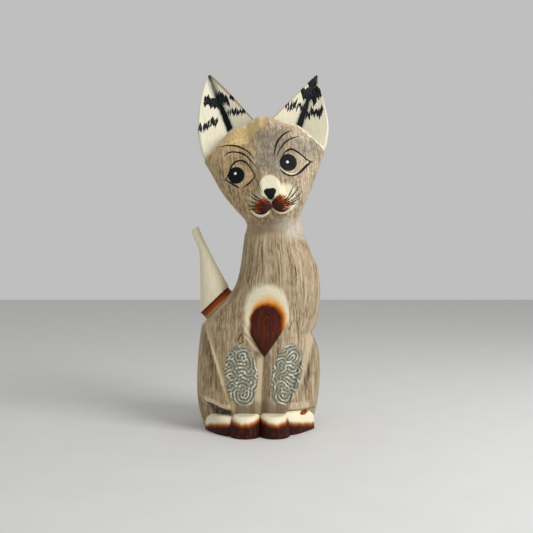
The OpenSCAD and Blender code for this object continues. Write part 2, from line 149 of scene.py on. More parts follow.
def apply(piece, kind, **settings):
    """Add one modifier to a piece and apply it."""
    pick(piece)
    modifier = piece.modifiers.new(kind.lower(), kind)
    for key, value in settings.items():
        setattr(modifier, key, value)
    bpy.ops.object.modifier_apply(modifier=modifier.name)


def sculpt(piece, move):
    """Shift every point by a function of all places and normals, in millimetres."""
    mesh = piece.data
    count = len(mesh.vertices)
    places = np.empty(count * 3, np.float32)
    normals = np.empty(count * 3, np.float32)
    mesh.vertices.foreach_get("co", places)
    mesh.vertex_normals.foreach_get("vector", normals)
    places = places.reshape(-1, 3).astype(float) / MM
    places = places + move(places, normals.reshape(-1, 3))
    mesh.vertices.foreach_set("co", (places * MM).astype(np.float32).ravel())
    mesh.update()


def trim(piece, point, normal):
    """Cut a piece flat at a plane and close it; what the normal points to is cut away."""
    pick(piece)
    bpy.ops.object.mode_set(mode="EDIT")
    bpy.ops.mesh.select_all(action="SELECT")
    bpy.ops.mesh.bisect(plane_co=point, plane_no=normal, use_fill=True, clear_outer=True)
    bpy.ops.object.mode_set(mode="OBJECT")


def shade_smooth(piece, angle=40):
    pick(piece)
    bpy.ops.object.shade_smooth_by_angle(angle=math.radians(angle))


def middle_of(node):
    """Middle of a CAD node's box."""
    low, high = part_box(node)
    return (low + high) / 2


# The head's tilt and turn, about the middle of the neck joint, which is the dowel's middle
HEAD_TILT = math.radians(-6)
HEAD_TURN = math.radians(3)
neck = middle_of("neck_dowel")
head_frame = (
    Matrix.Translation(neck)
    @ Matrix.Rotation(HEAD_TILT, 4, "Y")
    @ Matrix.Rotation(HEAD_TURN, 4, "Z")
)
neck_up = head_frame.to_3x3() @ Vector((0, 0, 1))

# Carved lines on the front: an x, its z, and the lean
RIGHT_HAUNCH = (-57.9, 118, -0.318)
LEFT_HAUNCH = (57.2, 118, 0.274)
BIB_RIGHT = (7, 85, -0.6)
BIB_LEFT = (7, 85, 0.7)
LEG_GROOVE = (7, 85, 0.045)
HAUNCH_PROUD = 3.2
BIB_PROUD = 4.2
GROOVE_HALF = 7.5
GROOVE_DEEP = 6.5
# Heights of the notches over the hind paws; the right one rises towards its open outer end
RIGHT_NOTCH_Z = 25.5
LEFT_NOTCH_Z = 25.2
NOTCH_RISE = 7.5
NOTCH_DEEP = 12
OPEN_END = 8
CHAMFER_DEEP = 4
RIGHT_CHAMFER_H = 4.5
LEFT_CHAMFER_H = 8
FOOT_FILL = 8
CREASE_Z = 106
CREASE_HALF = 6
CREASE_DEEP = 2
RIPPLE_WAVES = 7


def on_line(line, at):
    """The value of a straight line, given by a value, its place and its lean, at a place."""
    value, place, lean = line
    return value + (at - place) * lean


def ripple(places, size, seed):
    """A smooth unevenness of the given length in mm, from a few crossed waves."""
    rng = np.random.default_rng(seed)
    total = np.zeros(len(places))
    for _ in range(RIPPLE_WAVES):
        way = rng.normal(size=3) * (1, 1, 0.4)
        total += np.sin(places @ way * (2.2 / size) + rng.uniform(0, 6.3))
    return total / RIPPLE_WAVES


def carve_torso(places, normals):
    x, y, z = places.T
    front = smooth(0.1, 0.55, -normals[:, 1])
    outside_right = smooth(-1.6, 1.6, on_line(RIGHT_HAUNCH, z) - x)
    outside_left = smooth(-1.6, 1.6, x - on_line(LEFT_HAUNCH, z))
    outside = np.maximum(outside_right, outside_left)
    # The thighs stand proud of the legs, down to a notch with a rough edge over each hind paw
    proud = HAUNCH_PROUD * (1 - smooth(96, 124, z))
    edge_z = np.where(x < 0, RIGHT_NOTCH_Z + NOTCH_RISE * smooth(-29, -58, x), LEFT_NOTCH_Z)
    over = z - edge_z
    chips = 1.2 * np.sin(x * 1.9 + 2 * np.sin(x * 0.7)) + 0.8 * np.sin(x * 3.7)
    outer = smooth(-50, -58, x)
    above_edge = smooth(-1.2 - OPEN_END * outer, 0.8 + OPEN_END * outer, over - chips * 0.5)
    chamfer = np.clip(1 - over / np.where(x < 0, RIGHT_CHAMFER_H, LEFT_CHAMFER_H), 0, 1)
    chamfer = chamfer * above_edge * (1 - outer)
    fade = 0.6 + 0.4 * smooth(66, 50, np.abs(x))
    push = outside * (proud - fade * (NOTCH_DEEP * (1 - above_edge) + CHAMFER_DEEP * chamfer))
    push = push + 0.4 * chips * outside * fade * smooth(10, 3, np.abs(over - 3))
    # The foot of the block fills the valleys between the paws
    push = push + FOOT_FILL * smooth(34, 25, np.abs(x - 3)) * smooth(20, 12, z)
    # The legs part in a V-shaped groove below the bib's point
    groove = np.clip(1 - np.abs(x - on_line(LEG_GROOVE, z)) / GROOVE_HALF, 0, 1)
    push = push - GROOVE_DEEP * groove * (1 - smooth(80, 90, z))
    # The bib's two edges run up and out from its point
    in_bib = smooth(-0.4, 1.6, np.minimum(x - on_line(BIB_RIGHT, z), on_line(BIB_LEFT, z) - x))
    push = push + BIB_PROUD * in_bib * (1 - smooth(98, 126, z)) * smooth(-1, 1, z - BIB_LEFT[1])
    # A sharp crease on the left side, where the thigh meets the flank
    crease = np.clip(1 - np.abs(z - CREASE_Z) / CREASE_HALF, 0, 1) * smooth(0.3, 0.8, normals[:, 0])
    push = push * front + 0.35 * ripple(places, 26, 1) + 0.16 * ripple(places, 9, 2)
    out = normals * 0
    out[:, 0] = -CREASE_DEEP * crease
    out[:, 1] = -push
    return out


def settle_base(places, normals):
    """Bring the underside back to one flat plane."""
    out = normals * 0
    out[:, 2] = np.where(places[:, 2] < 1.0, -places[:, 2], 0)
    return out


torso = loft("torso_block", oval(*TORSO_SQUARE), flow(TORSO_STATIONS, TORSO_STEP))
apply(torso, "REMESH", mode="VOXEL", voxel_size=TORSO_VOXEL * MM)
apply(torso, "SMOOTH", factor=0.5, iterations=6)
sculpt(torso, carve_torso)
apply(torso, "SMOOTH", factor=0.4, iterations=2)
sculpt(torso, settle_base)
trim(torso, neck, neck_up)
shade_smooth(torso)


def tone(red, green, blue):
    """A colour as it looks on a screen, turned into the linear values that shaders use."""
    return [((c + 0.055) / 1.055) ** 2.4 for c in (red, green, blue)] + [1]


class Value:
    """A shader socket that takes part in ordinary sums."""

    def __init__(self, tree, socket=None):
        self.tree = tree
        self.socket = socket

    def node(self, kind, settings, sockets, out=0):
        """Add any node: its type, its settings, what its sockets hold and the output wanted."""
        made = self.tree.nodes.new("ShaderNode" + kind)
        for key, value in settings.items():
            setattr(made, key, value)
        for key, value in sockets.items():
            if isinstance(value, Value):
                self.tree.links.new(value.socket, made.inputs[key])
            else:
                made.inputs[key].default_value = value
        return Value(self.tree, made.outputs[out])

    def sum(self, operation, first, second):
        return self.node("Math", {"operation": operation}, {0: first, 1: second})

    def __add__(self, other):
        return self.sum("ADD", self, other)

    def __sub__(self, other):
        return self.sum("SUBTRACT", self, other)

    def __rsub__(self, other):
        return self.sum("SUBTRACT", other, self)

    def __mul__(self, other):
        return self.sum("MULTIPLY", self, other)

    def __truediv__(self, other):
        return self.sum("DIVIDE", self, other)

    def __rtruediv__(self, other):
        return self.sum("DIVIDE", other, self)

    def __pow__(self, other):
        return self.sum("POWER", self, other)

    __radd__ = __add__
    __rmul__ = __mul__

    def __abs__(self):
        return self.sum("ABSOLUTE", self, 0)

    def least(self, other):
        return self.sum("MINIMUM", self, other)

    def most(self, other):
        return self.sum("MAXIMUM", self, other)

    def rise(self, low, high):
        """0 below low and 1 above high, with an eased rise; low above high turns it round."""
        sockets = {"Value": self, "From Min": low, "From Max": high}
        return self.node("MapRange", {"interpolation_type": "SMOOTHSTEP"}, sockets)

    def between(self, start, full, fade, end):
        """0 up to the start, 1 from full to fade, and 0 again from the end."""
        return self.rise(start, full) * self.rise(end, fade)

    def mix(self, first, second):
        """From the first colour to the second as this value goes from 0 to 1."""
        sockets = {"Factor": self, 6: first, 7: second}
        return self.node("Mix", {"data_type": "RGBA"}, sockets, 2)

    def vector(self, operation, other, out=0):
        return self.node("VectorMath", {"operation": operation}, {0: self, 1: other}, out)

    def times(self, factors):
        """This colour with its red, green and blue multiplied."""
        return self.vector("MULTIPLY", factors)

    def point(self, y, z):
        """The place that has this value as its x."""
        return self.node("CombineXYZ", {}, {"X": self, "Y": y, "Z": z})

    def along(self, origin, way):
        """How far this place lies from an origin, along a direction."""
        return self.vector("SUBTRACT", origin).vector("DOT_PRODUCT", way, "Value")

    def noise(self, flat, upright, seed, detail=3, rough=0.55):
        """Clouds around this place, with one scale for the two level directions and one for height."""
        scaled = self.vector("MULTIPLY", (flat, flat, upright))
        sockets = {"Vector": scaled, "W": seed, "Scale": 1, "Detail": detail, "Roughness": rough}
        return self.node("TexNoise", {"noise_dimensions": "4D"}, sockets)


def new_material(name):
    """A material, and the place on the piece in millimetres."""
    material = bpy.data.materials.new(name)
    material.use_nodes = True
    start = Value(material.node_tree)
    metres = start.node("TexCoord", {}, {}, "Object")
    place = start.node("VectorMath", {"operation": "SCALE"}, {0: metres, "Scale": 1 / MM})
    return material, place


def axes(place, own=Matrix.Identity(4)):
    """How far a place lies along the x, y and z of a frame, in millimetres."""
    return [place.along(own.translation / MM, own.col[k].to_3d()) for k in range(3)]


def dress(pieces, material, colour, rough, relief=None, depth=0.3, sheen=0.25):
    """Feed a material's shader and give it to pieces; the relief's depth is in millimetres."""
    tree = material.node_tree
    shader = tree.nodes["Principled BSDF"]
    shader.inputs["Specular IOR Level"].default_value = sheen
    shader.inputs["Roughness"].default_value = rough
    tree.links.new(colour.socket, shader.inputs["Base Color"])
    if relief:
        sockets = {"Strength": 1, "Distance": depth * MM, "Height": relief}
        bump = relief.node("Bump", {}, sockets, "Normal")
        tree.links.new(bump.socket, shader.inputs["Normal"])
    for piece in pieces:
        piece.data.materials.clear()
        piece.data.materials.append(material)


WOOD_PALE = tone(0.735, 0.65, 0.52)
WOOD_MID = tone(0.63, 0.54, 0.41)
WOOD_STREAK = tone(0.43, 0.345, 0.255)
WOOD_PORE = tone(0.3, 0.235, 0.175)
LIME_FILM = tone(0.79, 0.735, 0.64)


def wood_grain(place, seed, depth):
    """Lime-washed wood with its grain upright: the colour and the relief."""
    wander = place.noise(0.016, 0.008, seed, 2) - 0.5
    bent = place.vector("ADD", (wander * 14).point(wander * 10, 0))
    broad = bent.noise(0.06, 0.006, seed + 1)
    streak = bent.noise(0.42, 0.024, seed + 2, 4, 0.62)
    line = bent.noise(0.75, 0.02, seed + 3, 3, 0.6)
    film = place.noise(0.05, 0.02, seed + 4, 4)
    dash = bent.noise(0.8, 0.13, seed + 5, 3, 0.65)
    dark = streak.rise(0.48, 0.66)
    lines = line.rise(0.54, 0.68) * (streak.rise(0.36, 0.56) * 0.7 + 0.3)
    colour = broad.rise(0.36, 0.64).mix(WOOD_MID, WOOD_PALE)
    for coat, paint in (
        (streak.rise(0.5, 0.34) * 0.8, LIME_FILM),
        (dark * depth, WOOD_STREAK),
        (lines * depth, WOOD_PORE),
        (dash.rise(0.52, 0.64) * 0.62 * depth, WOOD_PORE),
        (dash.rise(0.47, 0.36) * 0.65, LIME_FILM),
        (film.rise(0.5, 0.66) * 0.25, LIME_FILM),
    ):
        colour = coat.mix(colour, paint)
    return colour, 1 - dark * 0.4 - lines * 0.6


# Streaks are spread round the block's middle at one radius, so that they run unbroken up its faces
POST_X = 10
POST_RADIUS = 52
GOLD_TINT_AND_SHADE = (0.96, 0.93, 0.82)
LEG_SHADE = (0.68, 0.66, 0.66)
LEG_LIT_PALE = tone(0.79, 0.715, 0.59)
LEG_BROWN = tone(0.44, 0.37, 0.29)
STAIN = tone(0.22, 0.09, 0.06)
RAW_CUT = tone(0.87, 0.8, 0.68)
NOTCH_GREY = tone(0.42, 0.4, 0.35)
CRACK_AND_SHADE_DARK = tone(0.22, 0.17, 0.13)
CHIN_SHADE = tone(0.43, 0.38, 0.32)
FILLER = tone(0.78, 0.75, 0.69)


def neck_marks(place, colour):
    """Painted shadow under the chin and a pale smear of filler, both over the neck's joint."""
    x, y, z = axes(place)
    ragged = (place.noise(0.09, 0.05, 13, 5) - 0.5) * 20
    rubbed = place.noise(0.4, 0.06, 17, 4).rise(0.34, 0.66).mix(WOOD_PALE, WOOD_MID)
    joint = abs(place.along(neck / MM, neck_up)) + ragged * 0.4
    colour = (joint.rise(11, 2) * 0.8).mix(colour, rubbed)
    # Painted shadow under the chin
    chin_shadow = (abs(x - 11) + ragged).rise(26, 10) * y.rise(-8, -20)
    chin_shadow = chin_shadow * (z + ragged * 0.5).rise(211, 219) * (z + ragged * 0.4).rise(234, 226)
    colour = (chin_shadow * 0.45).mix(colour, CHIN_SHADE)
    smear = (z + ragged).rise(203, 216) * (z + ragged * 0.5).rise(238, 222) * (x + ragged).rise(14, 34)
    broken = place.noise(0.16, 0.1, 20, 5, 0.65).rise(0.36, 0.58) * 0.6 + 0.4
    return (smear * broken * y.rise(6, -10) * 0.95).mix(colour, FILLER)


# Drying cracks, a painted shadow under the bib's point, and last a fresh pale knife cut: from x and z, to x
# and z, half width and colour
SLIPS = [
    (-23, 99, -15, 112, 0.9, CRACK_AND_SHADE_DARK),
    (-21, 97, -14, 101, 0.7, CRACK_AND_SHADE_DARK),
    (33, 112, 37, 122, 0.9, CRACK_AND_SHADE_DARK),
    (54, 53, 55, 77, 1.2, CRACK_AND_SHADE_DARK),
    (-52, 46, -50, 66, 0.7, CRACK_AND_SHADE_DARK),
    (3, 203, 5, 186, 0.9, CRACK_AND_SHADE_DARK),
    (39, 180, 42, 169, 1, CRACK_AND_SHADE_DARK),
    (21, 206, 23, 196, 0.8, CRACK_AND_SHADE_DARK),
    (-10, 33, -7, 37, 1.1, CRACK_AND_SHADE_DARK),
    # Painted shadow under the bib's point
    (3, 90, 7.5, 83.5, 1.1, CRACK_AND_SHADE_DARK),
    (-15, 108, 3, 86, 2, RAW_CUT),
]
# The outer side of the right notch, as a carved line, and the x where the left one ends
RIGHT_NOTCH_SIDE = (-38.5, 0, -0.575)
LEFT_NOTCH_END = 58
# Across each thigh's edge: where the painted highlight on the lit side starts, is full, fades and
# ends, and then the painted shade in brown beside it
THIGH_EDGES = (
    (RIGHT_HAUNCH, (-1.2, 0, 1.5, 6.5), (-12, -7, -1.5, 0)),
    (LEFT_HAUNCH, (-1.5, 0.5, 6, 9), (7.5, 10, 12, 17)),
)
# The tail's sloping seat on the right hip, round the tail's dowel
TAIL_SLOPE = math.radians(43.5)
tail_seat = middle_of("tail_dowel")
tail_out = Vector((-math.sin(TAIL_SLOPE), 0, math.cos(TAIL_SLOPE)))
SEAT_TAN = tone(0.7, 0.59, 0.4)
# The chest's painted spot: the middle and half sizes of its dark drop
SPOT_X = 8.3
SPOT_Z = 122
SPOT_W = 16.6
SPOT_H = 15.5
CREAM = tone(0.89, 0.86, 0.75)
CREAM_DULL = tone(0.8, 0.77, 0.65)
AMBER = tone(0.86, 0.67, 0.34)
ORANGE = tone(0.84, 0.49, 0.1)
RUST = tone(0.47, 0.2, 0.04)
BROWN = tone(0.225, 0.08, 0.04)
BROWN_RED = tone(0.4, 0.145, 0.045)
# Coats round the drop: shift to the left, width and height against the drop, where a coat starts
# and is full, strength and colour
SPOT_COATS = (
    (2.6, 1.24, 1.9, 1.1, 0.75, 0.8, AMBER),
    (2.4, 1.17, 1.42, 1.12, 0.82, 1, ORANGE),
    (1.3, 1.08, 1.22, 1.1, 0.88, 0.85, RUST),
)


def paint_torso():
    material, place = new_material("limewashed_torso")
    x, y, z = axes(place)
    aside = x - POST_X
    spread = POST_RADIUS / (aside * aside + y * y) ** 0.5
    post = (aside * spread).point(y * spread, z)
    colour, relief = wood_grain(post, 1, y.rise(22, -8) * 0.27 + 0.48)
    legs, _ = wood_grain(x.point(y * 0.12, z), 6, 0.9)
    colour = (y.rise(-18, -34) * z.rise(152, 124)).mix(colour, legs)
    # A golden tone on the right side, with a little painted shade there, on the side away from the light
    tint = place.noise(0.02, 0.01, 16) - 0.5
    colour = (x + tint * 60).rise(10, -35).mix(colour, colour.times(GOLD_TINT_AND_SHADE))
    # The chest's painted spot: cream, then orange, then a streaky brown drop down to the bib's point
    chest = y.rise(-10, -25)
    brush = (place.noise(0.16, 0.12, 11, 4) - 0.5) * 0.2
    above = (z - SPOT_Z).most(0)
    bib = (on_line(BIB_RIGHT, z) - x).most(x - on_line(BIB_LEFT, z)) / SPOT_W

    def drop(shift, wide, tall, square=2):
        flat = abs(x - SPOT_X - shift) / (SPOT_W * wide)
        high = above / (SPOT_H * tall)
        return (flat ** square + high ** square) ** (1 / square) + brush

    dry = place.noise(0.5, 0.05, 18) - 0.5
    cream = (drop(1.3, 1.46, 2.5, 2.5) + dry * 0.25).rise(1.1, 0.88) * bib.rise(0.34, 0.26)
    cream = cream * (z - x.rise(4, 14) * 12).rise(100, 112) * chest
    dark_drop = drop(0.4, 1, 1.1)
    turned = (dark_drop * 9).point(x * 0.16, z * 0.03)
    rings = turned.noise(1, 1, 12).rise(0.42, 0.66)
    relief = 1 - (1 - relief) * (1 - cream * 0.85)
    colour = cream.mix(colour, (rings * 0.5).mix(CREAM, CREAM_DULL))
    inside = bib.rise(0.1, 0.04) * chest
    for shift, wide, tall, start, full, strength, paint in SPOT_COATS:
        coat = drop(shift, wide, tall).rise(start, full) * inside
        colour = (coat * strength).mix(colour, paint)
    brown = dark_drop.rise(1.06, 0.9) * inside
    colour = brown.mix(colour, (rings * 0.8).mix(BROWN, BROWN_RED))
    # Painted shadow: a thin dark line just below the bib's proud edges
    outline = bib.between(-0.02, 0.05, 0.08, 0.14) * z.between(80, 84, 100, 112)
    colour = (outline * chest * 0.75).mix(colour, CRACK_AND_SHADE_DARK)
    colour = neck_marks(place, colour)
    # The groove between the legs: a pale painted highlight on its right wall, which faces the light, and
    # painted shade in brown on its left one
    from_groove = x - on_line(LEG_GROOVE, z)
    low_legs = z.rise(90, 80) * chest
    colour = (from_groove.between(-9, -5, -1.5, -0.5) * low_legs * 0.85).mix(colour, LEG_LIT_PALE)
    colour = (from_groove.between(-1, 0.5, 2, 7) * low_legs * 0.35).mix(colour, LEG_BROWN)
    # The carved edges of the thighs get a pale painted highlight on their lit side, with painted shade in
    # brown beside them
    worn = (place.noise(0.3, 0.05, 19, 4) - 0.5) * 9
    run = z.between(36, 60, 114, 126) * chest
    for line, (pale_0, pale_1, pale_2, pale_3), (dark_0, dark_1, dark_2, dark_3) in THIGH_EDGES:
        off = x - on_line(line, z)
        shaded = (off + worn).rise(dark_0, dark_1) * (off + worn * 0.3).rise(dark_3, dark_2)
        colour = (shaded * run * z.rise(118, 98)).mix(colour, colour.times(LEG_SHADE))
        lit_edge = (off + worn * 0.15).rise(pale_0, pale_1) * (off + worn * 0.6).rise(pale_3, pale_2)
        colour = (lit_edge * run * 0.65).mix(colour, LEG_LIT_PALE)
    # The legs darken towards the paws, and paw stain has run over the foot of the block
    blotch = place.noise(0.12, 0.1, 15, 4)
    near_paws_dark = (z + blotch * 22).rise(51, 38) * abs(x - 4).rise(30, 24) * chest
    colour = (near_paws_dark * 0.68).mix(colour, LEG_BROWN)
    colour = (z.rise(16, 11) * y.rise(-38, -42)).mix(colour, STAIN)
    # Raw wood shows on the chiselled lower edges of the thighs, with a dark scoop under the right one,
    # darkened by a grey wash and by painted shade under the overhang
    edge = z - RIGHT_NOTCH_Z - x.rise(-29, -58) * NOTCH_RISE
    edge = edge - x.rise(0, 9) * (LEFT_NOTCH_Z - RIGHT_NOTCH_Z)
    rough_cut = place.noise(0.5, 0.12, 14)
    nick = place.noise(0.16, 0.3, 24, 2) - 0.5
    right_notch = x.rise(-28, -31) * (x - on_line(RIGHT_NOTCH_SIDE, z)).rise(0, 2) * chest
    left_notch = x.rise(32, 36) * x.rise(LEFT_NOTCH_END, LEFT_NOTCH_END - 4) * chest
    tall = x.rise(0, 9) * 2.5 + 6
    cut = edge.rise(-1, 1) * (edge - tall + nick * 6).rise(2, -2) * right_notch.most(left_notch)
    colour = cut.mix(colour, (rough_cut.rise(0.5, 0.68) * 0.25).mix(RAW_CUT, WOOD_MID))
    # The scoop's dark: a grey wash and painted shade under the overhang
    under = (edge + (rough_cut - 0.5) * 6).rise(0.8, -1.5) * edge.rise(-16, -13) * right_notch
    colour = (under * 0.85).mix(colour, rough_cut.rise(0.4, 0.62).mix(CRACK_AND_SHADE_DARK, NOTCH_GREY))
    # The seat under the tail is cut into raw wood, down to a worn cream edge
    seat = place.along(tail_seat / MM, tail_out) + (rough_cut - 0.5) * 1.5
    by_tail = (x + (blotch - 0.5) * 12).rise(-28, -38) * seat.rise(3, 2)
    colour = (seat.rise(-5, -3) * by_tail * 0.7).mix(colour, SEAT_TAN)
    lip = seat.between(-5.6, -4.6, -4.2, -2.8) * blotch.rise(0.3, 0.6)
    colour = (lip * by_tail * 0.6).mix(colour, RAW_CUT)
    for x0, z0, x1, z1, wide, paint in SLIPS:
        reach = math.hypot(x1 - x0, z1 - z0)
        way = ((x1 - x0) / reach, 0, (z1 - z0) / reach)
        along = place.along((x0, 0, z0), way)
        off = abs(place.along((x0, 0, z0), (way[2], 0, -way[0])) + (rough_cut - 0.5) * 3)
        slip = off.rise(wide, wide * 0.4) * along.rise(0, reach * 0.2) * along.rise(reach, reach * 0.7)
        colour = (slip * chest * 0.8).mix(colour, paint)
    dress([torso], material, colour, 0.62, relief, 0.3, 0.15)


paint_torso()
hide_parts("torso")
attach(torso, "root")

# Paws
# Four rounded paws carved side by side on the front of the base. They are painted white above and
# stained orange, then dark brown, down to the floor.
# Middle x and y, half width, half depth, height, turn, squareness, and how the stain's edge sinks,
# slopes and bows along the paw
PAWS = {
    "right_hind_paw": (-34.9, -22.9, 27.5, 16.5, 21.6, -54, 3.2, 5.7, 6, -2),
    "right_front_paw": (-12.5, -37, 17.5, 25, 25, -5, 2.4, 0, 0, 5),
    "left_front_paw": (17, -37, 17, 25, 25, 6, 2.4, 0, 0, 5),
    "left_hind_paw": (37.3, -16.5, 31, 18.5, 27.4, 54, 2.6, 5.7, -5.3, 0),
}
PAW_TOP_SQUARE = 3.4
PAW_DISH = 2
PAW_WHITE = tone(0.94, 0.905, 0.79)
PAW_TOP_SHADE = tone(0.79, 0.77, 0.68)
PAW_ORANGE = tone(0.64, 0.335, 0.04)
PAW_BROWN = tone(0.19, 0.08, 0.06)
PAW_RED = tone(0.37, 0.145, 0.07)
# A drip of stain on the left hind paw: its middle in x and z, and its half sizes
PAW_DRIP = (50, 20.9, 4.6, 2.4)


def ellipse(x, z, mid_x, mid_z, half_w, half_h):
    """Below 1 inside an ellipse and above 1 outside it."""
    flat = (x - mid_x) / half_w
    high = (z - mid_z) / half_h
    return flat * flat + high * high


def make_paw(name, x, y, half_w, half_d, height, turn, square, sink, slope, bow):
    paw = add(bpy.ops.mesh.primitive_uv_sphere_add, name, segments=96, ring_count=64, radius=1)

    def square_up(places, normals):
        """Turn the ball into a squarish lobe with a flat, slightly dished top."""
        unit = places * MM
        plan = np.hypot(unit[:, 0], unit[:, 1])
        fuller = (np.abs(unit[:, 0]) ** square + np.abs(unit[:, 1]) ** square) ** (1 / square)
        stretch = np.where(fuller > 0.001, plan / np.maximum(fuller, 0.001), 1)
        across = plan ** (2 / PAW_TOP_SQUARE)
        upright = np.sign(unit[:, 2]) * np.abs(unit[:, 2]) ** (2 / PAW_TOP_SQUARE)
        spread = np.where(plan > 0.001, across / np.maximum(plan, 0.001), 1) * stretch
        shape = np.stack((unit[:, 0] * spread, unit[:, 1] * spread, upright), axis=1)
        shape = shape * (half_w, half_d, height)
        shape[:, 2] -= PAW_DISH * (1 - smooth(0.3, 0.85, across)) * (upright > 0)
        return shape - places

    sculpt(paw, square_up)
    paw.data.transform(Matrix.Rotation(math.radians(turn), 4, "Z"))
    paw.data.transform(Matrix.Translation(Vector((x, y, 0)) * MM))
    sculpt(paw, lambda places, normals: normals * (0.9 * ripple(places, 11, 5)[:, None]))
    trim(paw, (0, 0, 0), (0, 0, -1))
    shade_smooth(paw)
    # The stain climbs at the sides of a paw and sinks at its middle
    material, place = new_material(name + "_paint")
    way = (math.cos(math.radians(turn)), math.sin(math.radians(turn)), 0)
    off = place.along((x, y, 0), way) / half_w
    across, _, z = axes(place)
    brush = place.noise(0.22, 0.06, 21) - 0.5
    level = z + sink - off * slope - off * off * bow + brush * 4
    streaks = place.noise(0.35, 0.16, 22, 5, 0.65)
    stain = (streaks.rise(0.48, 0.66) * 0.85).mix(PAW_BROWN, PAW_RED)
    wear = place.noise(0.12, 0.3, 23)
    white = (wear.rise(0.52, 0.7) * 0.25).mix(PAW_WHITE, WOOD_PALE)
    # Painted shade: the flat tops of the paws are greyed
    facing = place.node("NewGeometry", {}, {}, "Normal").along((0, 0, 0), (0, 0, 1))
    white = (facing.rise(0.86, 0.97) * 0.75).mix(white, PAW_TOP_SHADE)
    colour = level.rise(18, 13.5).mix(white, PAW_ORANGE)
    colour = level.rise(14.8, 10.5).mix(colour, stain)
    drip = (ellipse(across, z, *PAW_DRIP) + brush * 1.5).rise(1.1, 0.85)
    colour = drip.mix(colour, streaks.rise(0.4, 0.6).mix(PAW_ORANGE, PAW_RED))
    dress([paw], material, colour, 0.5, streaks, 0.3, 0.12)
    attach(paw, "root")


for name, sizes in PAWS.items():
    make_paw(name, *sizes)

# Head
# A second block, doweled on the neck with a tilt. The face is a shield with a snout and two
# round cheeks; a bevelled crest runs along the brow, with a step behind it for the ears.
# Height above the neck joint, right side, left side, front and back, in the head's own frame
HEAD_STATIONS = [
    (-8, -35, 35, -32, 31),
    (0, -33, 32, -33.4, 32),
    (6, -30.8, 30.3, -34.7, 32.5),
    (12, -29.5, 29.5, -37.8, 33.5),
    (18, -31.5, 31, -41, 35),
    (26, -37.5, 35.5, -43.5, 37),
    (35, -43.9, 41, -44.5, 39),
    (51, -54, 49.5, -44.5, 41),
    (70, -62.2, 58.5, -44, 41),
    (82, -67.5, 64, -43, 40),
    (88, -70, 66, -42.5, 39),
    (96, -61.5, 58.5, -42.5, 37),
    (103, -53.6, 52.5, -42.5, 34),
    (112, -44.5, 44, -42, 30),
    (118, -38.7, 35, -41, 27),
    (124.5, -19.5, 12, -39, 23),
    (128, -9, 5, -37, 21),
]
HEAD_STEP = 3
HEAD_SQUARE = (2.9, 2.2)
HEAD_VOXEL = 1.1
# The lower edge of the brow's bevel, from the right corner to the left one
BEVEL_X = (-72, -51, -38, -19, -12, -6, 5, 18, 32, 46, 59, 64)
BEVEL_Z = (84, 96, 95.5, 95, 104, 109, 113, 107, 102, 95, 84.5, 84)
EYES = ((-33, 64), (27.5, 71))
SOCKET_HALF = (23, 18)
SOCKET_DEEP = 2
MUZZLE = ((-12.5, 26), (7, 28))
CHEEK_HALF = (13, 11.5)
CHEEK_PROUD = 9.5
SNOUT_X = -3
SNOUT_TOP = 76
SNOUT_PROUD = 10.5
NOSE_Z = 40
NECK_BLEND = 14


def carve_head(places, normals):
    x, y, z = places.T
    front = smooth(0.15, 0.6, -normals[:, 1])
    # The brow's bevel falls back from its lower edge up to the crest
    over = np.clip(z - np.interp(x, BEVEL_X, BEVEL_Z), 0, 40)
    facet = np.abs((x / 15 + 0.3 * np.sin(x * 0.09)) % 1 - 0.5)
    bevel = (0.85 * over + 3 * facet * smooth(0, 5, over)) * np.clip((15 - y) / 55, 0, 1)
    # Snout: a wedge that rises out of the forehead towards the nose, then drops to the muzzle
    climb = np.clip((SNOUT_TOP - z) / (SNOUT_TOP - NOSE_Z), 0, 1) ** 0.9 * smooth(29, 36, z)
    half = 7.5 + (SNOUT_TOP - z) * 0.13
    push = SNOUT_PROUD * climb * (1 - smooth(-2.5, 5.5, np.abs(x - SNOUT_X) - half))
    # Round cheeks of the muzzle, and shallow eye sockets
    for cheek in MUZZLE:
        ball = np.sqrt(np.clip(1 - ellipse(x, z, *cheek, *CHEEK_HALF), 0, 1))
        push = np.maximum(push, CHEEK_PROUD * ball)
    for eye in EYES:
        push = push - SOCKET_DEEP * (1 - smooth(0.3, 1, np.sqrt(ellipse(x, z, *eye, *SOCKET_HALF))))
    push = push * front + 0.4 * ripple(places, 24, 3) + 0.2 * ripple(places, 9, 4)
    out = normals * 0
    out[:, 1] = bevel - push
    return out


def surface_of(piece):
    return BVHTree.FromObject(piece, bpy.context.evaluated_depsgraph_get())


def fair_neck():
    """Bring the foot of the head to the outline of the torso's top, so that the joint runs smooth."""
    below = surface_of(torso)
    own = surface_of(head)
    inverse = head_frame.inverted()
    turned = head_frame.to_3x3()
    beside = neck_up * 0.6 * MM
    for vertex in head.data.vertices:
        local = inverse @ vertex.co
        if local.z < NECK_BLEND * MM:
            flat = turned @ Vector((local.x, local.y, 0))
            outwards = flat.normalized()
            far = neck + outwards * 100 * MM
            torso_edge = below.ray_cast(far - beside, -outwards)[0]
            head_edge = own.ray_cast(far + beside, -outwards)[0]
            if torso_edge and head_edge:
                ratio = (torso_edge - neck).length / (head_edge - neck).length
                weight = 1 - local.z / (NECK_BLEND * MM)
                vertex.co += flat * (ratio - 1) * weight * weight


# An ear's seat runs from below the crown down to inside the brow's corner, as x and z on the head
EAR_INNER = Vector((8, 125))
EAR_OUTER = Vector((66, 88))
EAR_FACE_Y = -5
BROW_GAP = 2
CUTTER = 200 * MM


def seat_frame(side):
    """The seat of an ear: x along the seat and outwards, z away from the head."""
    along = (EAR_OUTER - EAR_INNER).normalized()
    middle = (EAR_OUTER + EAR_INNER) / 2 * MM
    x_way = Vector((side * along.x, 0, along.y))
    z_way = Vector((-side * along.y, 0, along.x))
    local = Matrix((x_way, (0, 1, 0), z_way)).transposed().to_4x4()
    local.translation = (side * middle.x, 0, middle.y)
    return head_frame @ local


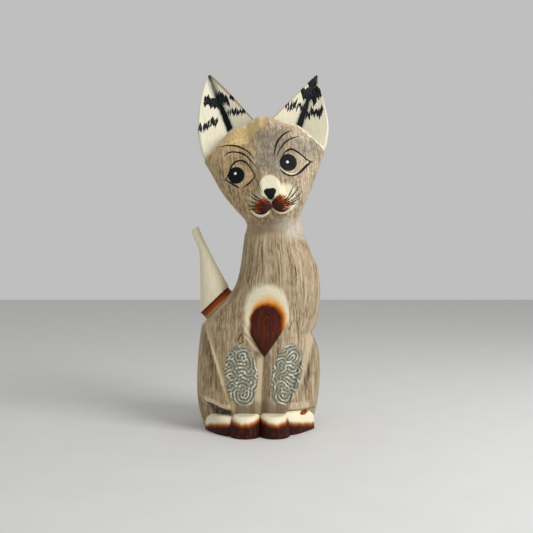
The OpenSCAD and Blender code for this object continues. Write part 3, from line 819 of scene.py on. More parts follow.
def cut_ear_seat(side):
    """Cut the step for one ear behind the brow's crest."""
    cutter = add(bpy.ops.mesh.primitive_cube_add, "seat_cutter", size=1)
    back = CUTTER / 2 + (EAR_FACE_Y - BROW_GAP) * MM
    cutter.data.transform(Matrix.Diagonal((CUTTER, CUTTER, CUTTER, 1)))
    cutter.data.transform(Matrix.Translation((0, back, CUTTER / 2)))
    cutter.data.transform(seat_frame(side))
    if side < 0:
        cutter.data.flip_normals()
    apply(head, "BOOLEAN", operation="DIFFERENCE", object=cutter, solver="EXACT")
    bpy.data.objects.remove(cutter)


head = loft("head_block", oval(*HEAD_SQUARE), flow(HEAD_STATIONS, HEAD_STEP))
apply(head, "REMESH", mode="VOXEL", voxel_size=HEAD_VOXEL * MM)
apply(head, "SMOOTH", factor=0.5, iterations=3)
sculpt(head, carve_head)
apply(head, "SMOOTH", factor=0.4, iterations=2)
trim(head, (0, 0, 0), (0, 0, -1))
head.data.transform(head_frame)
fair_neck()
cut_ear_seat(-1)
cut_ear_seat(1)
shade_smooth(head)

HEAD_RADIUS = 58
FACE_TAN = (1.24, 1.13, 0.92)
CHEEK_TINT = (1.18, 1.24, 1.33)
CHEEK_PALE = tone(0.78, 0.715, 0.61)
SMUDGE = tone(0.45, 0.4, 0.345)
FOREHEAD_GREY = tone(0.47, 0.44, 0.395)
EYE_GROUND = tone(0.8, 0.72, 0.6)
EYE_HALF = (14.5, 11)
# Straight edges of the brow's fresh wood, and of the crest above it: a height, its x and the lean
BROW_LOW = ((96.5, -51, 0.6), (95, 0, 0))
BROW_HIGH = ((105, -12, 0.52), (114, 4, -0.42))
CREST = ((88, -70, 0.958), (118, -38.7, 0.24), (127.8, 2, -0.26), (116.4, 37.7, -1.02))
BROW_GOLD_LIT = tone(0.89, 0.77, 0.53)
BROW_PINK = tone(0.79, 0.7, 0.58)
EAR_WHITE = tone(0.92, 0.9, 0.81)
# Middle of the growth rings on the right cheek, and their half sizes
CHEEK_RINGS = (4, 78, 1, 4 / 3)
# Cream on the bridge of the nose and on the cheeks: middle, half sizes, and strength
BRIDGE = (SNOUT_X, 46, 11.5, 13)
CHEEK_DABS = ((14.5, 40.5, 10.5, 8.5, 1), (19.5, 31, 5.5, 9, 0.8), (-19.5, 35, 7.5, 7.5, 0.65))


def lowest(lines, at):
    """The lowest of some straight lines at a place."""
    low = on_line(lines[0], at)
    for line in lines[1:]:
        low = low.least(on_line(line, at))
    return low


def paint_head():
    material, place = new_material("limewashed_head")
    x, y, z = axes(place, head_frame)
    local = x.point(y, z)
    colour, relief = wood_grain(x.point(y * 0.3, z), 41, 0.65)
    spread = HEAD_RADIUS / (x * x + y * y) ** 0.5
    sides, _ = wood_grain((x * spread).point(y * spread, z), 48, 0.5)
    colour = y.rise(-4, -24).mix(sides, colour)
    front = y.rise(5, -10)
    cloud = local.noise(0.04, 0.04, 42) - 0.5
    # Warm on the right side, pale on the left cheek, smudged with grey in the middle of the forehead
    warm = (x + cloud * 40).rise(-2, -24) * (front * 0.6 + 0.4)
    colour = warm.mix(colour, colour.times(FACE_TAN))
    colour = (x + cloud * 40).rise(12, 34).mix(colour, colour.times(CHEEK_TINT))
    smudge = local.noise(0.16, 0.06, 46, 5, 0.7)
    colour = (smudge.rise(0.5, 0.66) * front * 0.42).mix(colour, SMUDGE)
    fleck = local.noise(0.42, 0.24, 47, 4, 0.75)
    colour = (fleck.rise(0.5, 0.64) * front * 0.75).mix(colour, SMUDGE)
    colour = (fleck.rise(0.48, 0.36) * front * 0.7).mix(colour, CHEEK_PALE)
    middle = (abs(x - 1) + cloud * 22).rise(24, 8) * (z + cloud * 30).rise(56, 72)
    left_brow = (abs(x - 44) + cloud * 22).rise(22, 8) * (abs(z - 88) + cloud * 10).rise(12, 4)
    grey = middle.most(left_brow * 0.8) * (z + cloud * 24).rise(118, 100) * front
    colour = (grey * (fleck.rise(0.36, 0.6) * 0.6 + 0.38)).mix(colour, FOREHEAD_GREY)
    # The ground inside the eyes is scraped paler
    for eye in EYES:
        ground = ellipse(x, z, *eye, *EYE_HALF).rise(1.1, 0.75)
        colour = (ground * front * 0.3).mix(colour, EYE_GROUND)
    # The brow's bevel is cut into fresh golden wood, with a painted highlight on the right side where it
    # faces up, and white paint from the ears runs over its edge
    low_edge = lowest(BROW_LOW, x)
    turn_up = x.rise(-24, -5)
    brow = z - low_edge - (lowest(BROW_HIGH, x) - low_edge) * turn_up + cloud * 4
    brow = brow.rise(-0.6, turn_up * 7 + 1) * front * (1 - fleck.rise(0.44, 0.66) * 0.6)
    colour = (brow * x.rise(14, -6) * 0.75).mix(colour, BROW_GOLD_LIT)
    colour = (brow * x.rise(0, 16) * 0.45).mix(colour, BROW_PINK)
    spill = (local.noise(0.2, 0.2, 45) - 0.5) * 22
    slop = (lowest(CREST, x) - z + spill - x.rise(6, 22) * 3).rise(3.4, 2.2) * y.between(-36, -20, 0, 8)
    slop = slop * (abs(x - 2).rise(8, 20) * 0.6 + 0.4) * (x.rise(-30, 20) * 0.5 + 0.4)
    colour = slop.mix(colour, EAR_WHITE)
    # Growth rings run down the right cheek, along its outline
    away = ellipse(x, z, *CHEEK_RINGS) ** 0.5 * 0.3 + cloud * 3
    ring = abs(away.sum("FRACT", away, 0) - 0.5).rise(0.16, 0.03)
    ring = ring * x.rise(-14, -30) * z.rise(92, 80) * front
    colour = (ring * smudge.rise(0.35, 0.6) * 0.6).mix(colour, WOOD_STREAK)
    # The bridge and cheeks beside the nose are dabbed with cream paint
    brush = (local.noise(0.3, 0.12, 43, 4) - 0.5) * 0.5
    bridge = (ellipse(x, z, *BRIDGE) + brush).rise(1.1, 0.92)
    colour = (bridge * front).mix(colour, CREAM)
    for *dab, strength in CHEEK_DABS:
        cream = (ellipse(x, z, *dab) + brush * 2.2).rise(1.6, 0.3)
        colour = (cream * front * strength).mix(colour, CREAM)
    colour = neck_marks(place, colour)
    dress([head], material, colour, 0.62, relief, 0.3, 0.15)


paint_head()
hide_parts("head")
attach(head, "root")

# Ears
# Two leaf-shaped pieces doweled to sloping seats behind the brow. Each is folded like a V in
# front, domed behind, painted white with a black stripe in the fold and rows of brush dabs.
# Height over the seat, inner edge, outer edge, and thickness
RIGHT_EAR = [
    (0, -34.6, 36, 29),
    (5, -34.5, 36.5, 28),
    (16, -34.2, 32.3, 25),
    (28, -33.8, 25.6, 21),
    (46, -33, 11.6, 14.5),
    (58, -32, -0.8, 10),
    (66, -31.2, -10.5, 7),
    (72, -30.2, -19.5, 5),
    (76.5, -29.3, -27, 3),
]
LEFT_EAR = [
    (0, -34.6, 35, 29),
    (5, -33.4, 34.8, 28),
    (14, -30.6, 32.3, 25.5),
    (24.5, -27.3, 28.4, 22),
    (43.5, -21.3, 15.6, 14.5),
    (52.5, -18.5, 8, 11),
    (61.5, -15.7, 0.3, 7.5),
    (69, -13.4, -6, 5),
    (74.5, -11.7, -9.8, 3),
]
EAR_STEP = 2.5
EAR_RING = 48
EAR_LEAN = 0.17
# Where the fold lies across each ear, and the foot and tip of its stripe over the seat
RIGHT_FOLD = 0.42
RIGHT_STRIPE = ((-8, 13), (-28.8, 79))
LEFT_FOLD = 0.47
LEFT_STRIPE = ((-2.4, 11), (-11, 75))
EAR_STREAK_AND_SHADE = tone(0.81, 0.785, 0.69)
EAR_GREY = tone(0.5, 0.5, 0.475)
BLACK = tone(0.055, 0.065, 0.08)
BARE_TAN = tone(0.66, 0.55, 0.42)


def ear_outline(fold_at):
    """A ring whose front is folded in a V and whose back is domed."""
    ring = []
    half = EAR_RING // 2
    for k in range(half):
        v = k / half
        depth = v / fold_at if v < fold_at else (1 - v) / (1 - fold_at)
        ring.append((2 * v - 1, -1 + 0.8 * depth))
    for k in range(half):
        v = 1 - k / half
        ring.append((2 * v - 1, -0.8 + 1.8 * math.sin(math.pi * v) ** 0.75))
    return ring


def make_ear(name, node, side, stations, fold_at, stripe, ear_shade):
    rows = []
    for w, inner, outer, thick in stations:
        face_y = EAR_FACE_Y + EAR_LEAN * w
        rows.append((w, inner, outer, face_y, face_y + thick))
    ear = loft(name, ear_outline(fold_at), flow(rows, EAR_STEP))
    apply(ear, "SUBSURF", levels=1, render_levels=1, subdivision_type="SIMPLE")
    seat = seat_frame(side)
    ear.data.transform(seat)
    if side < 0:
        ear.data.flip_normals()
    shade_smooth(ear, 50)
    # Brushed white with a soft black stripe down the fold, and bare wood on the inner edge; an ear's white
    # can be greyed all over as painted shade
    material, place = new_material(name + "_paint")
    u, y, w = axes(place, seat)
    (foot_u, foot_w), (tip_u, tip_w) = stripe
    lean = (tip_u - foot_u) / (tip_w - foot_w)
    ragged = (place.noise(0.35, 0.12, 31, 4) - 0.5) * 3.4
    off = abs(u - on_line((foot_u, foot_w, lean), w) + ragged)
    foot = stations[0]
    tip = stations[-1]
    thick = foot[3] - w * (foot[3] - tip[3]) / tip[0]
    front = ((y - EAR_FACE_Y - w * EAR_LEAN) / thick).rise(0.62, 0.54) * w.rise(foot_w - 3, foot_w + 1)
    core = (off - w.rise(tip_w, foot_w) * 2.2).rise(2.6, 0.6) * front
    core = core * (1 - abs(w - tip_w + 15).rise(13, 4) * 0.45)
    brushed = place.noise(0.5, 0.05, 32)
    # Brush streaks in duller white; the last argument greys the whole white as painted shade
    colour = (brushed.rise(0.42, 0.66) * 0.4 + ear_shade).mix(EAR_WHITE, EAR_STREAK_AND_SHADE)
    colour = (off.rise(8, 1.5) * front * 0.7).mix(colour, EAR_GREY)
    colour = core.mix(colour, BLACK)
    inner = foot[1] + w * (tip[1] - foot[1]) / tip[0]
    bare = (u - inner + ragged * 0.15).rise(1.5, 0.6)
    colour = (bare * 0.85).mix(colour, BARE_TAN)
    dress([ear], material, colour, 0.55, brushed, 0.2, 0.1)
    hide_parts(node)
    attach(ear, "root")
    return ear


# The left ear's white is greyed by half as painted shade
right_ear = make_ear("right_ear_leaf", "right_ear", -1, RIGHT_EAR, RIGHT_FOLD, RIGHT_STRIPE, 0)
left_ear = make_ear("left_ear_leaf", "left_ear", 1, LEFT_EAR, LEFT_FOLD, LEFT_STRIPE, 0.5)

# Tail
# An upright tapering tail, doweled to a sloping seat on the right hip, painted white. A brown
# stained collar is cut in under its slanted rim.
# Height, right side, left side, front and back of the tail
TAIL_STATIONS = [
    (108, -66.5, -22, -6, 31),
    (142, -66.6, -29, -5, 30),
    (158, -66.7, -34.5, -2.5, 29),
    (167, -66.8, -39.6, 0, 28.5),
    (178, -67.1, -45.8, 3, 28),
    (190, -67.6, -52.3, 6.5, 27.5),
    (200, -69, -57.3, 9.5, 27),
    (212, -74.4, -63.3, 13, 26.5),
    (226.5, -79, -69.8, 15.5, 26),
]
TAIL_STEP = 3
TAIL_SQUARE = (2.1, 2.1)
# The tip is cut on a slant: a place on the cut and the way it faces
TAIL_TIP = (-74.4, 20, 223.5)
TAIL_TIP_WAY = (-0.48, -0.15, 0.86)
COLLAR_H = 7
COLLAR_CUT = 1.2
# The collar's straight part and its flaring foot, which goes down into the hip
COLLAR_PARTS = (5.25, 9.75)
COLLAR_FLARE = 1.05
TAIL_WHITE = tone(0.93, 0.895, 0.785)
TAIL_GREY = tone(0.8, 0.75, 0.63)
COLLAR_BROWN = tone(0.62, 0.28, 0.08)
COLLAR_STAIN_AND_SHADOW = tone(0.36, 0.13, 0.05)
tail_rim = tail_seat + tail_out * COLLAR_H * MM
tail = loft("tail_horn", oval(*TAIL_SQUARE), flow(TAIL_STATIONS, TAIL_STEP))
sculpt(tail, lambda places, normals: normals * (0.3 * ripple(places, 18, 6)[:, None]))
trim(tail, Vector(TAIL_TIP) * MM, TAIL_TIP_WAY)
trim(tail, tail_rim, -tail_out)
for side in tail.data.polygons:
    side.select = side.normal.dot(-tail_out) > 0.999
bpy.ops.object.mode_set(mode="EDIT")
bpy.ops.mesh.select_mode(type="FACE")
bpy.ops.mesh.inset(thickness=COLLAR_CUT * MM)
for length in COLLAR_PARTS:
    bpy.ops.mesh.extrude_region_move(TRANSFORM_OT_translate={"value": -tail_out * length * MM})
collar_foot = tail_rim - tail_out * sum(COLLAR_PARTS) * MM
bpy.ops.transform.resize(value=[COLLAR_FLARE] * 3, center_override=collar_foot)
bpy.ops.object.mode_set(mode="OBJECT")
shade_smooth(tail, 35)

material, place = new_material("tail_paint")
brushed = place.noise(0.6, 0.035, 51, 4)
worn = place.noise(0.1, 0.02, 52)
colour = (brushed.rise(0.48, 0.66) * 0.35).mix(TAIL_WHITE, TAIL_GREY)
colour = (worn.rise(0.55, 0.75) * 0.3).mix(colour, WOOD_PALE)
over_rim = place.along(tail_rim / MM, tail_out) + (brushed - 0.5) * 2
stain = over_rim.rise(-8, -5.5).mix(SEAT_TAN, COLLAR_BROWN)
# Darkest just under the rim: stain, and painted shadow of the rim
stain = over_rim.rise(-4.5, -0.5).mix(stain, COLLAR_STAIN_AND_SHADOW)
colour = over_rim.rise(0.35, 0.1).mix(colour, stain)
dress([tail], material, colour, 0.55, brushed, 0.3, 0.12)
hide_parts("tail")
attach(tail, "root")

# Face paint
# Brows, eye outlines, pupils, nose and whiskers are brushed on the bare head in black enamel; the
# muzzle is a fan of orange and brown strokes over cream.
BRUSH_ROUND = 0.45
# Paint comes on from this far in front, at marks placed at the face's depth before the neck's middle
PAINT_FROM = -300
FACE_DEPTH = -46
face = surface_of(head)


def drape(piece, surface, lift, body=BRUSH_ROUND):
    """Lay a flat piece, made at y = 0, on the surface behind it; body is how far it stays round."""
    for vertex in piece.data.vertices:
        x, y, z = vertex.co
        hit = surface.ray_cast(Vector((x, PAINT_FROM * MM, z)), Vector((0, 1, 0)))[0]
        if hit:
            vertex.co.y = hit.y - lift * MM + y * body
        else:
            vertex.co = surface.find_nearest(Vector((x, 0, z)))[0]


def brush_lines(name, lines, width, lift=0.15, tips=0.3, own=head_frame, surface=face):
    """Brush strokes through points of x and z, thinned at the tips and laid on a surface."""
    curve = bpy.data.curves.new(name, "CURVE")
    curve.dimensions = "3D"
    curve.bevel_depth = width / 2 * MM
    curve.bevel_resolution = 2
    curve.resolution_u = 5
    curve.use_fill_caps = True
    for line in lines:
        spline = curve.splines.new("BEZIER")
        last = len(line) - 1
        spline.bezier_points.add(last)
        for k, (point, (x, z)) in enumerate(zip(spline.bezier_points, line)):
            point.co = own @ Vector((x * MM, FACE_DEPTH * MM, z * MM))
            point.co.y = 0
            point.handle_left_type = "AUTO"
            point.handle_right_type = "AUTO"
            inner = min(k, last - k) / max(1, last / 2)
            uneven = 1 + 0.15 * math.sin(x * 1.3 + z * 1.7)
            point.radius = (tips + (1 - tips) * min(1, inner * 1.6)) * uneven
    piece = bpy.data.objects.new(name, curve)
    bpy.context.collection.objects.link(piece)
    pick(piece)
    bpy.ops.object.convert(target="MESH")
    piece = bpy.context.object
    piece.name = name
    drape(piece, surface, lift)
    shade_smooth(piece, 60)
    return piece


def brush_spot(name, x, z, half_w, half_h, lift=0.15, thick=0.9, shape=None):
    """A flat blob of paint; the shape gives its outline's reach at each angle."""
    piece = add(bpy.ops.mesh.primitive_uv_sphere_add, name, segments=48, ring_count=32, radius=1)
    piece.data.transform(Matrix.Rotation(math.radians(90), 4, "X"))

    def flatten(places, normals):
        unit = places * MM
        reach = shape(np.arctan2(unit[:, 2], unit[:, 0])) if shape else 1
        radius = np.hypot(unit[:, 0], unit[:, 2])
        fuller = np.where(radius > 0, radius ** 0.6 / np.maximum(radius, 0.001), 1) * reach
        flat_x = unit[:, 0] * fuller * half_w
        flat_z = unit[:, 2] * fuller * half_h
        return np.stack((flat_x, unit[:, 1] * thick, flat_z), axis=1) - places

    sculpt(piece, flatten)
    middle = Vector((x, FACE_DEPTH, z)) * MM
    piece.data.transform(Matrix.Translation(middle))
    piece.data.transform(head_frame)
    piece.data.transform(Matrix.Translation((0, -(head_frame @ middle).y, 0)))
    drape(piece, face, lift)
    shade_smooth(piece, 60)
    return piece


def enamel(name, colour, second, rough, pieces):
    """Hand-brushed paint, a little uneven in colour."""
    material, place = new_material(name)
    uneven = place.noise(0.4, 0.4, 61)
    dress(pieces, material, uneven.rise(0.4, 0.65).mix(colour, second), rough, uneven, 0.1, 0.12)
    for piece in pieces:
        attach(piece, "root")


def nose_outline(angle):
    """A triangle with round corners, point down."""
    from_point = angle + math.pi / 2
    return 0.87 + 0.13 * np.cos(3 * from_point) + 0.06 * np.cos(from_point)


# Strokes run through points of x and z in the head's frame; spots have a middle and half sizes
BROWS = [
    [(-56.5, 96.5), (-48.5, 97), (-38, 96), (-29.5, 92.5), (-21.5, 86.5), (-16, 78.5)],
    [(-47.5, 85.5), (-42, 88.5), (-34.5, 88), (-27, 85), (-20.5, 78), (-15, 70)],
    [(5.5, 79), (7, 86), (10, 93.5), (15, 99.5), (21, 103.5), (27, 106)],
    [(8.5, 79.5), (12.5, 86.5), (17.5, 92), (23.5, 96), (30.5, 98), (35, 98.5)],
]
LEFT_UNDER_EYE = [(10, 65), (14, 60.5), (20.5, 57), (26, 57.5), (32, 60.5), (39, 66.5), (45.5, 71)]
EYE_LINES = [
    [(-49, 60.5), (-44, 68), (-41, 74), (-36.5, 77.5), (-31, 78.5), (-26, 76.5), (-21.5, 70.5), (-17, 60.5)],
    [(-49, 60.5), (-41, 54), (-35, 49.5)],
    [(-31, 49.5), (-24, 53.5), (-17, 60.5)],
    [(14, 76.5), (16.5, 82), (21, 84.5), (24.5, 85.5), (29.5, 83), (36, 77.5), (43, 71.5), (47, 70.5)],
    LEFT_UNDER_EYE,
]
EYE_WHITES = [
    [(12, 65), (15.5, 61.5), (20.5, 59), (25.5, 59), (31, 62)],
    [(30, 81), (36, 76), (41, 72), (37, 68)],
    [(-46.5, 60.5), (-44, 58.5), (-41, 57)],
]
RIGHT_PUPIL = (-37, 63.5, 8.9, 8.9)
LEFT_PUPIL = (20, 71.5, 9.2, 9.2)
RIGHT_GLINT = (-38, 65.5, 1.5, 1.5)
LEFT_GLINT = (19, 72, 1.5, 1.5)
NOSE = (-3, 40, 7, 6.6)
WHISKERS = [
    [(-25, 45.5), (-19, 38.5), (-12, 31)],
    [(-26.5, 41), (-21, 36.5), (-13.5, 29.5)],
    [(-27, 35.5), (-23, 32.5), (-15, 27.5)],
    [(-28.5, 30), (-24.5, 28.8), (-16, 26)],
    [(-28, 26), (-24, 25.2), (-16, 23.5)],
    [(10.5, 29), (18, 37.5), (23.5, 47)],
    [(11, 28), (21, 36), (29.5, 45)],
    [(11.5, 27), (23.5, 32.8), (33, 40)],
    [(12, 26), (21.5, 29.2), (28, 33)],
    [(12, 25), (19.5, 26.4), (24, 27.6)],
]
RIGHT_CRESCENT = [(-26, 27), (-22.5, 21), (-16, 17.2), (-9, 18.5), (-3.5, 24)]
LEFT_CRESCENT = [(-2, 23.5), (2, 19.5), (8.5, 17.8), (16, 20.5), (22.5, 27.5)]
LIP_LINE = [(-8, 36), (-3.2, 31.2), (1.2, 33.8)]
# Painted shadow: dark lines under the two proud cheeks, and a dark line of painted shade along the carved
# edge beside the snout
MUZZLE_SHADOW_LINES = [
    [(-24, 24.5), (-19.5, 20.4), (-13, 18.8), (-7, 20.6), (-4, 25)],
    [(-1, 24.6), (4, 20.6), (9.5, 20), (15, 22.5)],
]
SNOUT_SHADE_LINE = [(-17.3, 60), (-14.2, 50), (-11, 39.5)]
black_pieces = [
    brush_lines("brow_lines", BROWS, 1.7),
    brush_lines("eye_outlines", EYE_LINES, 1.75, tips=0.5),
    brush_lines("left_eye_shade", [LEFT_UNDER_EYE[3:]], 2.5, tips=0.5),
    brush_spot("right_pupil", *RIGHT_PUPIL),
    brush_spot("left_pupil", *LEFT_PUPIL),
]
cream_pieces = [
    brush_spot("right_glint", *RIGHT_GLINT, lift=0.5),
    brush_spot("left_glint", *LEFT_GLINT, lift=0.5),
    brush_lines("eye_whites", EYE_WHITES, 1.0, lift=0.05),
]
black_pieces += [
    brush_spot("nose", *NOSE, lift=0.3, thick=1.6, shape=nose_outline),
    brush_lines("whiskers", WHISKERS, 1.15, lift=1.1, tips=0.25),
]
cream_pieces += [
    brush_lines("right_cheek_cream", [RIGHT_CRESCENT], 2.3, lift=0.45),
    brush_lines("left_cheek_cream", [LEFT_CRESCENT], 1.8, lift=0.45),
    brush_lines("muzzle_lip", [LIP_LINE], 0.9, lift=0.5),
]

# Strokes on each cheek: how many, the half sizes of the ring of their tips, and how far towards the
# nose and down they start
CHEEK_STROKES = 88
STROKE_TIPS = (10.6, 9.2)
STROKE_ROOT = (6.5, 0.5)
rng = np.random.default_rng(8)
orange_lines = []
rust_lines = []
brown_lines = []
dark_rays = []
for cheek_x, cheek_z in MUZZLE:
    side = -1 if cheek_x < SNOUT_X else 1
    root = (cheek_x - side * STROKE_ROOT[0], cheek_z - STROKE_ROOT[1])
    for angle in np.linspace(-170, 170, CHEEK_STROKES):
        turn = math.radians(angle + rng.normal(0, 3))
        outer = max(0, math.cos(turn))
        inner = max(0, -math.cos(turn))
        lower = max(0, -math.sin(turn))
        tip_x = cheek_x + side * STROKE_TIPS[0] * math.cos(turn)
        tip_z = cheek_z + STROKE_TIPS[1] * math.sin(turn)
        # The shortest and longest stroke of each colour, as shares of the way from root to tip
        orange_far = 1.08 + 0.17 * outer - 0.28 * lower - 0.5 * inner
        brown_near = min(0.75, 0.2 + 0.5 * lower + 0.6 * inner)
        brown_far = min(0.92, 0.55 + 0.38 * lower + 0.5 * inner)
        for lines, near, far in (
            (orange_lines, 0.88 - 0.2 * lower - 0.5 * inner, orange_far),
            (rust_lines, 0.45 + 0.2 * lower, 0.94 - 0.2 * inner),
            (brown_lines, brown_near, brown_far),
            (dark_rays, 0.6, 1.05),
        ):
            reach = rng.uniform(near, far)
            end = [r + (t - r) * reach for r, t in zip(root, (tip_x, tip_z))]
            knee = [(r + e) / 2 for r, e in zip(root, end)]
            lines.append([root, knee, end])
brown_pieces = [
    brush_lines("muzzle_brown", brown_lines, 1.7, lift=0.4),
    brush_lines("muzzle_rays", dark_rays[::4], 0.8, lift=0.5),
    # Lines of painted shadow under the cheeks and beside the snout, in the brown enamel
    brush_lines("muzzle_shadow_lines", MUZZLE_SHADOW_LINES, 1.5, lift=0.4),
    brush_lines("snout_shade_line", [SNOUT_SHADE_LINE], 0.8),
]
orange_strokes = brush_lines("muzzle_orange", orange_lines, 1.2)
rust_strokes = brush_lines("muzzle_rust", rust_lines, 1.2, lift=0.28)
BLACK_WORN = tone(0.05, 0.06, 0.07)
CREAM_FRESH = tone(0.97, 0.95, 0.87)
MUZZLE_ORANGE = tone(0.76, 0.4, 0.08)
MUZZLE_RUST = tone(0.56, 0.23, 0.06)
MUZZLE_BROWN = tone(0.27, 0.125, 0.09)
MUZZLE_DARK = tone(0.2, 0.1, 0.08)
enamel("black_enamel", BLACK, BLACK_WORN, 0.5, black_pieces)
enamel("cream_enamel", CREAM_FRESH, CREAM, 0.45, cream_pieces)
enamel("orange_enamel", MUZZLE_ORANGE, MUZZLE_RUST, 0.45, [orange_strokes])
enamel("rust_enamel", MUZZLE_RUST, MUZZLE_BROWN, 0.45, [rust_strokes])
enamel("brown_enamel_and_shadow", MUZZLE_BROWN, MUZZLE_DARK, 0.45, brown_pieces)

# Ear dabs
# Rows of short black brush marks across each ear, flicked upright with a nearly dry brush. Each row
# is a thin skin of paint on the dry white coat.
# Middle of a patch in x and z, its half width, climb and spread in height, how many marks, their
# length, their width and their lean
RIGHT_DABS = [
    (-54.5, 367, 6.5, 0, 1.8, 24, 10, 3.8, 0.1),
    (-40.5, 368, 5.5, 0.15, 2.6, 18, 12, 3.2, -0.3),
    (-29.5, 370.5, 2, 0.15, 1.2, 5, 7, 2.3, -0.3),
    (-24, 354.5, 9.5, 0, 1.4, 16, 9, 1.9, 0.1),
    (-57, 339, 10.5, 0.6, 1.8, 17, 11, 2, 0.2),
    (-51, 343.5, 4, 0.4, 1.5, 5, 9, 2.5, 0.2),
]
LEFT_DABS = [
    (62.5, 390, 3, 0, 1.5, 10, 13, 4, 0),
    (60.5, 378, 10, 0, 3, 34, 14, 4.2, 0),
    (41.5, 361, 11, 0, 1.8, 16, 11, 2.1, 0.1),
    (64, 354.5, 9, 0, 2.1, 14, 12, 2.6, 0),
]
DAB_GREY = tone(0.13, 0.145, 0.16)


def brush_dabs(name, ear, patches):
    rng = np.random.default_rng(len(patches))
    surface = surface_of(ear)
    pieces = []
    for k, (mid_x, mid_z, half_w, climb, spread, count, length, width, slant) in enumerate(patches):
        marks = []
        for t in np.linspace(-1, 1, count):
            x = mid_x + half_w * t + rng.normal(0, 0.6)
            z = mid_z + climb * half_w * t + rng.normal(0, spread)
            half = length / 2 * rng.uniform(0.5, 1.1)
            lean = slant + rng.normal(0, 0.15)
            bow = rng.normal(0, 0.35)
            marks.append([(x - lean * half, z - half), (x + bow, z), (x + lean * half, z + half)])
        pieces.append(brush_lines(f"{name}_{k}", marks, width, 0.1, 0.15, Matrix.Identity(4), surface))
    return pieces


right_dabs = brush_dabs("right_ear_dabs", right_ear, RIGHT_DABS)
left_dabs = brush_dabs("left_ear_dabs", left_ear, LEFT_DABS)
enamel("ear_black", BLACK, DAB_GREY, 0.5, right_dabs + left_dabs)

# Leg scrollwork
# An oval of thick grey-white paste on each front leg. Curls are drawn in it while it is soft, the
# paste between them is combed into cords that bend round them, and dark paint fills the grooves.
# Middle, half width, half height and lean of the oval; then the curls, each an arc's middle and
# radius, the angle where it starts and how far it sweeps; then flat patches with their half sizes
PANELS = {
    "right_leg": (-17.6, 63.2, 17.9, 33.6, -4.5, [
        (-16, 77, 9.8, -80, 170),
        (-17, 84.5, 3.4, -10, 200),
        (-30, 85, 3.2, 0, 180),
        (-30.5, 74, 3.2, 0, 170),
        (-30, 62.5, 3.2, 0, 180),
        (-27.5, 51.5, 3.2, 0, 180),
        (-7.5, 68, 2.4, 0, 190),
        (-18, 66, 3.4, 0, 160),
        (-9.5, 57.5, 3.4, 190, 160),
        (-17, 51, 3.2, 0, 180),
        (-14, 43, 7.4, 160, 220),
        (-14.5, 43, 2, 200, 150),
    ], [(-24, 93, 5, 3)]),
    "left_leg": (31.1, 64.6, 15.8, 33.8, 11.5, [
        (37, 83, 5.9, -70, 190),
        (36, 82, 2, 20, 170),
        (33, 71.5, 3.6, 0, 190),
        (40.5, 68, 3.4, -90, 160),
        (25, 75, 3.4, 40, 170),
        (24, 62, 4, 120, 120),
        (31.5, 59, 3.4, 0, 180),
        (38, 54, 3, -60, 170),
        (24.5, 50, 3.4, 60, 170),
        (28.5, 42, 5.6, 150, 210),
        (29, 42.5, 1.9, 160, 170),
    ], [(44, 91.5, 4, 7), (21.5, 66, 3.5, 9), (22, 46, 3, 5)]),
}
SCROLL_PITCH = 3.7
# Spacing of the places where the cords are worked out, in mm, and how long they take to even out
CORD_STEP = 0.45
CORD_ROUNDS = 22
CORD_PACE = 0.5
CORD_GAIN = 0.45
SCROLL_H = 1.7
SCROLL_BACK = 1.6
PANEL_STEPS = {"x_subdivisions": 84, "y_subdivisions": 160}
GROOVE_PAINT_AND_SHADE = tone(0.3, 0.295, 0.24)
PASTE_GREY = tone(0.57, 0.56, 0.49)
PASTE_AND_HIGHLIGHT = tone(0.88, 0.865, 0.79)


def comb_cords(x, z, curls):
    """Cords of one width that fill the sheet round the curls: 1 along a cord, -1 in a groove."""
    low = np.array((x.min(), z.min())) - 2 * SCROLL_PITCH
    high = np.array((x.max(), z.max())) + 2 * SCROLL_PITCH
    count = np.ceil((high - low) / CORD_STEP).astype(int)
    at_x, at_z = np.meshgrid(*(np.arange(n) * CORD_STEP for n in count), indexing="ij")
    cord = np.random.default_rng(3).normal(0, 0.6, at_x.shape)
    for mid_x, mid_z, radius, start, sweep in curls:
        off_x = at_x + low[0] - mid_x
        off_z = at_z + low[1] - mid_z
        turn = (np.degrees(np.arctan2(off_z, off_x)) - start) % 360
        tips = [
            np.hypot(off_x - radius * math.cos(end), off_z - radius * math.sin(end))
            for end in (math.radians(start), math.radians(start + sweep))
        ]
        away = np.where(turn < sweep, np.abs(np.hypot(off_x, off_z) - radius), np.minimum(*tips))
        near = np.clip(1.5 - away / SCROLL_PITCH, 0, 1)
        cord = cord * (1 - near) + near * np.cos(2 * math.pi * away / SCROLL_PITCH)
    # Waves of the cords' own width grow and all others die out, as in a Swift-Hohenberg pattern
    wave_x, wave_z = (np.fft.fftfreq(n, CORD_STEP) * SCROLL_PITCH for n in count)
    off_width = 1 - wave_x[:, None] ** 2 - wave_z[None, :] ** 2
    damping = 1 - CORD_PACE * (CORD_GAIN - off_width ** 2)
    for _ in range(CORD_ROUNDS):
        cord = np.real(np.fft.ifft2(np.fft.fft2(cord - CORD_PACE * cord ** 3) / damping))
    cord = cord / np.percentile(np.abs(cord), 97)
    # Read the cords at the sheet's own places
    across = (x - low[0]) / CORD_STEP
    upright = (z - low[1]) / CORD_STEP
    i = across.astype(int)
    j = upright.astype(int)
    part = across - i
    below = cord[i, j] * (1 - part) + cord[i + 1, j] * part
    above = cord[i, j + 1] * (1 - part) + cord[i + 1, j + 1] * part
    return below + (above - below) * (upright - j)


